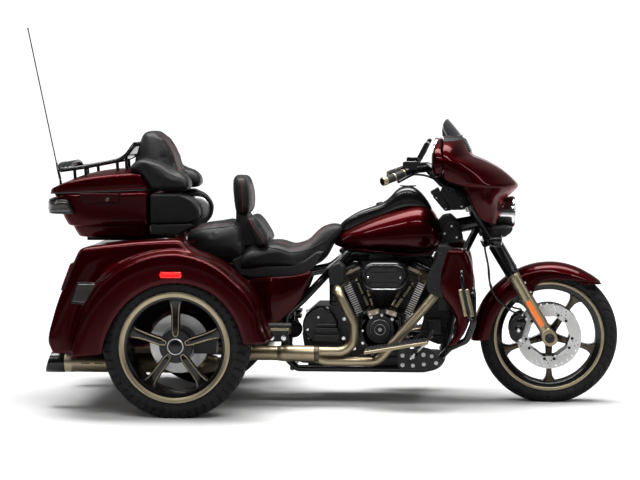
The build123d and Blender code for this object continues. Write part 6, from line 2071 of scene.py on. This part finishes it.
LEG_DIR = Vector((-sin(radians(30.5)), 0, cos(radians(30.5))))
LEG_OUT = Vector((cos(radians(30.5)), 0, sin(radians(30.5))))
for s, side in ((-1, "right"), (1, "left")):
    y = s * 120
    L = (on_leg(614, y) - on_leg(340, y)).length * 1000
    sl = turned(f"fork_slider_{side}", on_leg(340, y), on_leg(614, y), [(0, 20), (3, 24), (30, 26.5), (60, 27.5), (L - 26, 27.5), (L - 24, 30), (L - 6, 30), (L - 2, 28.5), (L, 24)], 56)
    give(sl, BRONZE, "steering", "bronze", "fork_legs")
    L = (on_leg(752, y) - on_leg(612, y)).length * 1000
    cv = turned(f"fork_cover_{side}", on_leg(612, y), on_leg(752, y), [(0, 30), (2, 32.5), (14, 32.5), (16, 31.5), (L - 20, 33), (L - 4, 33), (L, 30)], 56)
    give(cv, BLACK, "steering", "gloss_black", "fork_legs")
    tb = turned(f"fork_tube_{side}", on_leg(750, y), on_leg(936, y), [(0, 26), (186, 26), (206, 26), (210, 24), (215, 20), (215, 1)], 48)
    give(tb, BLACK, "steering", "gloss_black", "fork_legs")
    # axle lug and nut
    lug = [(r_, t_) for r_, t_ in ((-34, -20), (-34, 14), (-22, 44), (20, 46), (32, 16), (32, -18), (18, -36), (-16, -38))]
    pts = []
    for a0, b0 in lug:
        v = P(1670, 0, 319.3) + LEG_OUT * (a0 / 1000) + LEG_DIR * (b0 / 1000)
        pts.append((v.x * 1000 + X_REF, v.z * 1000))
    lg = plate(f"axle_lug_{side}", pts, s * 94, s * 148, 9, 4)
    give(lg, BRONZE, "steering", "bronze", "fork_legs")
    k = Kit()
    k.turned(P(1670, s * 147, 319.3), P(1670, s * 160, 319.3), [(0, 22), (4, 22), (5, 20), (5, 1)], 40)
    k.turned(P(1670, s * 151, 319.3), P(1670, s * 166, 319.3), [(0, 16), (9, 16), (11, 13), (11, 1)], 6)
    give(k.build(f"axle_nut_{side}"), ENGINE, "steering", "engine_black", "fork_legs")
    # amber reflector along the slider
    c0 = P(1602, 0, 432)
    pts = []
    for a0, b0 in ((-12, -62), (-8, -68), (8, -68), (12, -62), (12, 62), (8, 68), (-8, 68), (-12, 62)):
        v = c0 + LEG_OUT * (a0 / 1000) + LEG_DIR * (b0 / 1000)
        pts.append((v.x * 1000 + X_REF, v.z * 1000))
    rf = plate(f"fork_reflector_{side}", pts, s * 146, s * 156, 3, 3)
    give(rf, AMBER, "steering", "red_lens")
    pts = []
    for a0, b0 in ((-15, -66), (-10, -72), (10, -72), (15, -66), (15, 66), (10, 72), (-10, 72), (-15, 66)):
        v = c0 + LEG_OUT * (a0 / 1000) + LEG_DIR * (b0 / 1000)
        pts.append((v.x * 1000 + X_REF, v.z * 1000))
    rb = plate(f"reflector_base_{side}", pts, s * 140, s * 151, 3, 3)
    give(rb, BRONZE, "steering", "bronze")
    # caliper face, pistons and bolts
    a0 = radians(164)

    def cal(rho, t, y_):
        return P(1670 + rho * cos(a0) - t * sin(a0), y_, 319.3 + rho * sin(a0) + t * cos(a0))

    pts = [(v.x * 1000 + X_REF, v.z * 1000) for v in [cal(r_, t_, 0) for r_, t_ in ((124, -56), (136, -66), (158, -64), (176, -48), (187, -24), (190, 4), (185, 32), (172, 54), (150, 66), (130, 64), (123, 48), (121, 20), (121, -8), (122, -36))]]
    cf = plate(f"caliper_face_{side}", pts, s * 72, s * 112, 10, 5)
    give(cf, ENGINE, "steering", "engine_black", "front_calipers")
    k = Kit()
    for t_ in (-30, 8):
        k.turned(cal(146, t_, s * 110), cal(146, t_, s * 124), [(0, 20), (4, 20), (6, 17), (6, 1)], 40)
    give(k.build(f"caliper_pots_{side}"), BLACK, "steering", "gloss_black")
    k = Kit()
    k.bolt(cal(146, 8, s * 115), (0, s, 0), 9, 6, True)
    k.bolt(cal(126, 50, s * 111), (0, s, 0), 6, 6, True)
    k.bolt(cal(126, -52, s * 111), (0, s, 0), 6, 6, True)
    k.turned(cal(150, -56, s * 104), cal(150, -72, s * 104), [(0, 7), (12, 7), (14, 5), (16, 5)], 20)
    give(k.build(f"caliper_bolts_{side}"), CHROME, "steering", "steel")
    hose = wire(f"brake_pipe_{side}", [P(1372, s * 60, 770), P(1366, s * 96, 735), P(1390, s * 118, 640), P(1392, s * 124, 560), P(1420, s * 116, 500), P(1470, s * 112, 460), P(1505, s * 112, 432), cal(150, -70, s * 104)], 4.5)
    give(hose, RUBBER, "steering", "rubber")

# nacelle round the headlamp's foot and the fork covers beside it
k = Kit()
for s in (-1, 1):
    k.prism([(1322, 888), (1352, 902), (1448, 780), (1440, 756), (1404, 752)], s * 88, s * 62)
ob = k.build("fork_side_covers", True, None)
bevel(ob, 6, 3)
give(ob, PAINT, "steering", "paint")
k = Kit()
for s in (-1, 1):
    for x, z in ((1402, 790), (1362, 862)):
        k.bolt(P(x, s * 88, z), (0, s, 0), 7, 6, True)
give(k.build("fork_cover_bolts"), CHROME, "steering", "steel")
sk = Kit()
sk.prism([(1392, 836), (1470, 838), (1500, 832), (1492, 806), (1462, 786), (1420, 780), (1396, 796)], -148, 148)
ob = sk.build("fork_skirt", True, None)
bevel(ob, 14, 4)
give(ob, PLASTIC, "steering", "black_plastic", "fork_shroud")

# black box on the steering head behind the fairing, its top block, and the brace up to the inner fairing
ob = plate("steering_box", [(1126, 966), (1163, 990), (1216, 902), (1184, 898)], -40, 40, 6, 3)
give(ob, PLASTIC, "steering", "black_plastic")
ob = plate("steering_box_top", [(1114, 990), (1152, 1011), (1164, 990), (1127, 968)], -42, 42, 5, 3)
give(ob, BLACK, "steering", "gloss_black")
ob = plate("fairing_brace", [(1160, 984), (1176, 1022), (1204, 1060), (1250, 1036), (1286, 984), (1318, 914), (1290, 906), (1214, 902)], -38, 38, 8, 4)
give(ob, PLASTIC, "steering", "black_plastic")
k = Kit()
for s in (-1, 1):
    for x, z in ((1146, 962), (1190, 912), (1206, 1020), (1262, 960)):
        k.bolt(P(x, s * 37, z), (0, s, 0), 5, 5)
give(k.build("steering_box_bolts"), CHROME, "steering", "steel")
for s, side in ((-1, "right"), (1, "left")):
    ob = plate(f"fork_inner_shroud_{side}", [(1298, 906), (1310, 922), (1340, 905), (1385, 832), (1396, 780), (1364, 766), (1348, 806), (1324, 860)], s * 98, s * 112, 5, 3)
    give(ob, PLASTIC, "steering", "black_plastic")
    ob = plate(f"fairing_side_stay_{side}", [(1140, 1062), (1158, 1078), (1178, 1074), (1240, 990), (1286, 926), (1272, 910), (1252, 908), (1200, 980)], s * 114, s * 127, 5, 3)
    give(ob, PLASTIC, "steering", "black_plastic")
    k = Kit()
    for x, z in ((1158, 1062), (1208, 1000), (1262, 926)):
        k.bolt(P(x, s * 126.5, z), (0, s, 0), 5, 4)
    give(k.build(f"fairing_stay_screws_{side}"), CHROME, "steering", "steel")

# grips with bronze bands
for s, side in ((-1, "right"), (1, "left")):
    st_, en = P(1030, s * 318, 1096), P(913, s * 430, 1052)
    d = (en - st_).normalized()
    g0, g1 = st_ + d * 0.042, en + d * 0.006
    L = (g1 - g0).length * 1000
    ribs = [(0, 16.5), (0.5, 19.2)]
    for i in range(14):
        t0 = 14 + i * (L - 40) / 14
        ribs += [(t0, 19.4), (t0 + 1.2, 18.3), (t0 + 2.4, 18.3), (t0 + 3.6, 19.4)]
    ribs += [(L - 22, 19.4), (L - 8, 19.4), (L - 6, 18)]
    gp = turned(f"grip_{side}", g0, g1, ribs, 48)
    give(gp, RUBBER, "steering", "rubber", "hand_grips")
    k = Kit()
    k.turned(g0, g1, [(-1, 17), (0, 20.4), (9, 20.4), (10, 18)], 48)
    k.turned(g0 + d * ((L - 20) / 1000), g1, [(0, 18), (0.6, 20.6), (10, 20.6), (12, 19.5), (19, 19.5), (22, 16)], 48)
    k.turned(g0 + d * (L * 0.46 / 1000), g1, [(0, 18), (0.4, 19.9), (6, 19.9), (6.4, 18)], 48)
    give(k.build(f"grip_bands_{side}"), BRONZE, "steering", "bronze", "hand_grips")
    k = Kit()
    k.turned(g0 + d * ((L + 0) / 1000), g1 + d * 0.01, [(0, 17), (2.5, 15), (3.2, 9), (3.2, 1)], 40)
    give(k.build(f"grip_end_{side}"), BLACK, "steering", "gloss_black")
    # reservoir cap, switches
    mid = st_ + d * 0.017
    k = Kit()
    k.box(mid + Vector((-0.020, -0.022, 0.041)), mid + Vector((0.040, 0.022, 0.047)))
    ob = k.build(f"reservoir_cap_{side}", True, None)
    bevel(ob, 2.5, 3)
    give(ob, BLACK, "steering", "gloss_black")
    k = Kit()
    for dx_, dy_ in ((-0.014, -0.016), (0.034, 0.016), (-0.014, 0.016), (0.034, -0.016)):
        k.bolt(mid + Vector((dx_, dy_, 0.047)), (0, 0, 1), 3, 2.5)
    give(k.build(f"reservoir_screws_{side}"), CHROME, "steering", "steel")
    k = Kit()
    for i in range(3):
        q = mid + d * (-0.012 + 0.013 * i) + Vector((-0.026, 0, 0.006))
        k.turned(q, q + Vector((-0.006, 0, 0.002)), [(0, 5), (3, 5), (4.5, 3.5), (4.5, 0.5)], 16)
    give(k.build(f"switch_buttons_{side}"), PLASTIC, "steering", "black_plastic")
    # mirror: shell, glass and stem
    k = Kit()
    outl = [(1064, 1156), (1072, 1149), (1086, 1150), (1118, 1220), (1114, 1228), (1100, 1229)]
    k.prism(outl, s * 330, s * 465)
    ob = k.build(f"mirror_shell_{side}", True, None)
    bevel(ob, 9, 4, 20)
    give(ob, BLACK, "steering", "gloss_black", "mirrors")
    v = [P(1064.5, s * 340, 1160), P(1064.5, s * 455, 1160), P(1097, s * 452, 1223), P(1097, s * 346, 1223)]
    off = Vector((-0.0012, 0, 0.0006))
    k = Kit()
    vv = [p + off * 1.5 for p in v] + [p + off * -1.5 for p in v]
    k.add(vv, [(0, 1, 2, 3), (7, 6, 5, 4), (0, 4, 5, 1), (1, 5, 6, 2), (2, 6, 7, 3), (3, 7, 4, 0)])
    give(k.build(f"mirror_glass_{side}", False, None), MIRROR, "steering", "steel", "mirrors")
    give(wire(f"mirror_stem_{side}", [P(1062, s * 340, 1128), P(1072, s * 350, 1142), P(1080, s * 358, 1156), P(1090, s * 370, 1176)], 7), BLACK, "steering", "gloss_black", "mirrors")
    # cables from the switch housings to the neck
    give(wire(f"bar_cable_{side}", [mid + Vector((0.03, 0, -0.012)), mid + Vector((0.07, -s * 0.03, -0.012)), P(1150, s * 205, 1050), P(1195, s * 140, 1005), P(1255, s * 92, 955), P(1300, s * 70, 912)], 5), RUBBER, "steering", "rubber")

# ------------------------------------------------------------------ guard, pegs, footboards
for s, side in ((-1, "right"), (1, "left")):
    k = Kit()
    for off in (0, 26):
        k.turned(P(1258 + off, s * 420, 570), P(1284 + off, s * 420, 448), [(0, 8), (3, 11.5), (60, 12), (121, 11.5), (125, 8)], 28)
    give(k.build(f"highway_peg_{side}"), BRONZE, "chassis", "bronze")
    k = Kit()
    k.prism([(1270, 560), (1280, 562), (1304, 456), (1294, 454)], s * 410, s * 432)
    give(k.build(f"peg_rubber_{side}"), RUBBER, "chassis", "rubber")
    give(wire(f"peg_arm_{side}", [P(1262, s * 398, 646), P(1262, s * 416, 630), P(1268, s * 420, 590), P(1276, s * 420, 560)], 10), BLACK, "chassis", "gloss_black")
    give(wire(f"peg_foot_{side}", [P(1292, s * 420, 452), P(1300, s * 410, 436), P(1312, s * 388, 430)], 10), BLACK, "chassis", "gloss_black")
    # rider's board: tray, bronze rim, ribbed pad, brackets
    y0, y1 = s * 246, s * 372
    tray = plate(f"footboard_{side}", [(825, 264), (1112, 312), (1116, 320), (1112, 327), (826, 279), (820, 271)], y0, y1, 5, 3)
    give(tray, BRONZE, "chassis", "bronze", "rider_footboards")
    k = Kit()
    k.prism([(838, 278), (1102, 322), (1104, 330), (838, 286)], s * 254, s * 364)
    ob = k.build(f"footboard_pad_{side}", True, None)
    bevel(ob, 4, 3)
    give(ob, RUBBER, "chassis", "rubber", "rider_footboards")
    k = Kit()
    for i in range(17):
        x = 850 + i * 15
        z = 288 + (x - 838) * 44 / 264
        k.box(P(x, min(s * 262, s * 356), z - 1.5), P(x + 6, max(s * 262, s * 356), z + 3.0))
    give(k.build(f"footboard_ribs_{side}", False, None), RUBBER, "chassis", "rubber", "rider_footboards")
    for i, line in enumerate(([(150, 236), (190, 246), (250, 250), (280, 256), (306, 270)], [(150, 226), (196, 240), (250, 262), (282, 284), (306, 302)])):
        x = 858 + 198 * i
        give(wire(f"footboard_arm_{i}_{side}", [P(x, s * y_, z_) for y_, z_ in line], 8), BLACK, "chassis", "gloss_black", "rider_footboards")
    # passenger's board: pad, bronze edge, under-plate, hanger with bolts
    ya, yb = s * 300, s * 376
    for nm, z0, z1, m, sl_, inset in (("pad", 384, 399, RUBBER, "rubber", 0), ("edge", 370, 385, BRONZE, "bronze", 6), ("plate", 355, 371, ENGINE, "engine_black", 2)):
        ob = plate(f"passenger_board_{nm}_{side}", [(352 + inset, z0), (352 + inset, z1), (490 - inset, z1), (490 - inset, z0)], ya + s * inset * 0.3, yb - s * inset * 0.3, 4, 3)
        give(ob, m, "chassis", sl_, "passenger_footboards")
    k = Kit()
    k.prism([(382, 356), (470, 356), (480, 330), (462, 314), (392, 314), (374, 330)], s * 300, s * 322)
    ob = k.build(f"passenger_board_hanger_{side}", True, None)
    bevel(ob, 5, 3)
    give(ob, ENGINE, "chassis", "engine_black", "passenger_footboards")
    k = Kit()
    k.rod(P(452, s * 160, 328), P(452, s * 306, 328), 10, 24)
    give(k.build(f"passenger_board_bar_{side}"), BLACK, "chassis", "gloss_black", "passenger_footboards")
    k = Kit()
    for x in (400, 455):
        k.bolt(P(x, s * 322, 332), (0, s, 0), 9, 8, True)
    give(k.build(f"passenger_board_bolts_{side}"), CHROME, "chassis", "steel")


# ------------------------------------------------------------------ luggage rack, carrier, aerial
RY = 165.0
RAIL = [(-598, 1089), (-560, 1094), (-489, 1104), (-420, 1117), (-341, 1132), (-311, 1143), (-287, 1161), (-270, 1184), (-258, 1203), (-249, 1210)]
for s, side in ((-1, "right"), (1, "left")):
    give(wire(f"rack_rail_{side}", [P(x, s * (RY - (0 if x < -260 else 10)), z) for x, z in RAIL], 10), BLACK, "top_box_lid_body", "gloss_black", "luggage_rack")
k = Kit()
for s in (-1, 1):
    for x, zt in ((-532, 1097), (-481, 1105), (-332, 1134), (-290, 1156)):
        zb = smooth_at(CREASE, x) + 6
        k.turned(P(x + 4, s * RY, zb - 8), P(x, s * RY, zt), [(0, 12), (4, 10), (12, 7.5), ((P(x, 0, zt) - P(x + 4, 0, zb - 8)).length * 1000, 7.5)], 20)
give(k.build("rack_posts"), BLACK, "top_box_lid_body", "gloss_black", "luggage_rack")
# up-turned front: a rounded paddle between the rails with ribs across it under a round top bar
UP = [(-322, 1136), (-308, 1145), (-296, 1154), (-286, 1164), (-277, 1176), (-270, 1187), (-262, 1198), (-254, 1207)]
rings = []
for i, (x, z) in enumerate(UP):
    h = RY - 4 - (0 if i < 5 else (i - 4) ** 2 * 1.6)
    rings.append([P(x, h * spow(sin(lerp(-pi / 2, pi / 2, j / 24)), 0.9), z) for j in range(25)])
hp = loft("rack_hoop", rings, closed=False)
solidify(hp, 11, 0)
subsurf(hp, 1)
give(hp, BLACK, "top_box_lid_body", "gloss_black", "luggage_rack")
k = Kit()
for x, z in ((-303, 1152), (-287, 1168), (-274, 1187)):
    k.rod(P(x, -RY + 6, z), P(x, RY - 6, z), 6, 18)
k.rod(P(-252, -RY + 14, 1209), P(-252, RY - 14, 1209), 11, 22)
give(k.build("rack_hoop_ribs"), BLACK, "top_box_lid_body", "gloss_black", "luggage_rack")
# rear panel: an arched deck with raised slats across the rails, closed by a round end bar


def deck_z(x, y, up=0.0):
    return 1088 + (x + 606) * 0.17 + 30 * (1 - (abs(y) / (RY + 6)) ** 3.2) + up


ys = [lerp(-RY - 6, RY + 6, j / 28) for j in range(29)]
dk = loft("rack_deck", [[P(x, y, deck_z(x, y)) for y in ys] for x in (-606, -592, -578, -564, -550)], closed=False)
solidify(dk, 7)
give(dk, BLACK, "top_box_lid_body", "gloss_black", "luggage_rack")
slats = []
for i in range(3):
    x0 = -602 + i * 19
    rings = []
    for y in ys:
        rings.append([P(x0 + dx_, y, deck_z(x0 + dx_, y, up)) for dx_, up in ((0, -2), (1, 4), (4, 6.5), (11, 6.5), (14, 4), (15, -2))])
    slats.append(loft("slat", rings))
sl = join("rack_slats", slats)
give(sl, BLACK, "top_box_lid_body", "gloss_black", "luggage_rack")
give(wire("rack_end_bar", [P(-560, -RY - 6, 1096), P(-586, -RY - 6, 1092), P(-604, -RY + 6, 1096), P(-611, -RY + 40, 1108), P(-613, -60, 1116), P(-613, 60, 1116), P(-611, RY - 40, 1108), P(-604, RY - 6, 1096), P(-586, RY + 6, 1092), P(-560, RY + 6, 1096)], 9), BLACK, "top_box_lid_body", "gloss_black", "luggage_rack")
# aerial: knuckle, spring base and whip
k = Kit()
AY = 222.0
k.turned(P(-668, AY, 968), P(-676, AY, 1031), [(0, 11), (6, 11), (10, 8), (40, 7), (58, 6), (63, 4)], 24)
k.box(P(-682, AY - 16, 961), P(-600, AY + 16, 979))
ob = k.build("aerial_base", True, None)
bevel(ob, 2.5, 2)
give(ob, BLACK, "chassis", "gloss_black", "antenna")
k = Kit()
k.turned(P(-676, AY, 1030), P(-694, AY, 1112), [(0, 5), (4, 7), (60, 6), (84, 4)], 20)
k.rod(P(-694, AY, 1110), P(-826.5, AY, 1754), 3.0, 12)
k.turned(P(-826, AY, 1751), P(-828, AY, 1762), [(0, 2), (2, 4), (6, 4.4), (9, 3.4), (10.5, 1)], 16)
give(k.build("aerial_whip"), BLACK, "chassis", "gloss_black", "antenna")


# ------------------------------------------------------------------ finishes of the carried-over pieces
REST = {
    "fork_yokes": (BLACK, 4), "handlebar": (BLACK, 0), "hand_controls": (BLACK, 3), "front_calipers": (ENGINE, 5),
    "frame": (BLACK, 0), "crankcase": (ENGINE, 6), "gearbox": (ENGINE, 7), "primary_cover": (BLACK, 12),
    "exhaust_pipes": (BRONZE, 0), "trunk_body": (PAINT, 4), "rear_axle": (ENGINE, 5), "rear_calipers": (ENGINE, 5),
    "swingarm": (BLACK, 5), "shock_absorbers": (BLACK, 4), "final_drive": (RUBBER, 0), "engine_guard": (BLACK, 0),
    "top_box_carrier": (PLASTIC, 4),
}
for name, (m, edge) in REST.items():
    ob = NODES[name]
    ob.data.materials.clear()
    ob.data.materials.append(m)
    if edge:
        bevel(ob, edge, 3, 40)
for name, ob in NODES.items():
    if name not in REST and not ob.hide_render and not any(mm and mm.use_nodes and len(mm.node_tree.nodes) > 4 for mm in ob.data.materials):
        print("no finish yet:", name)
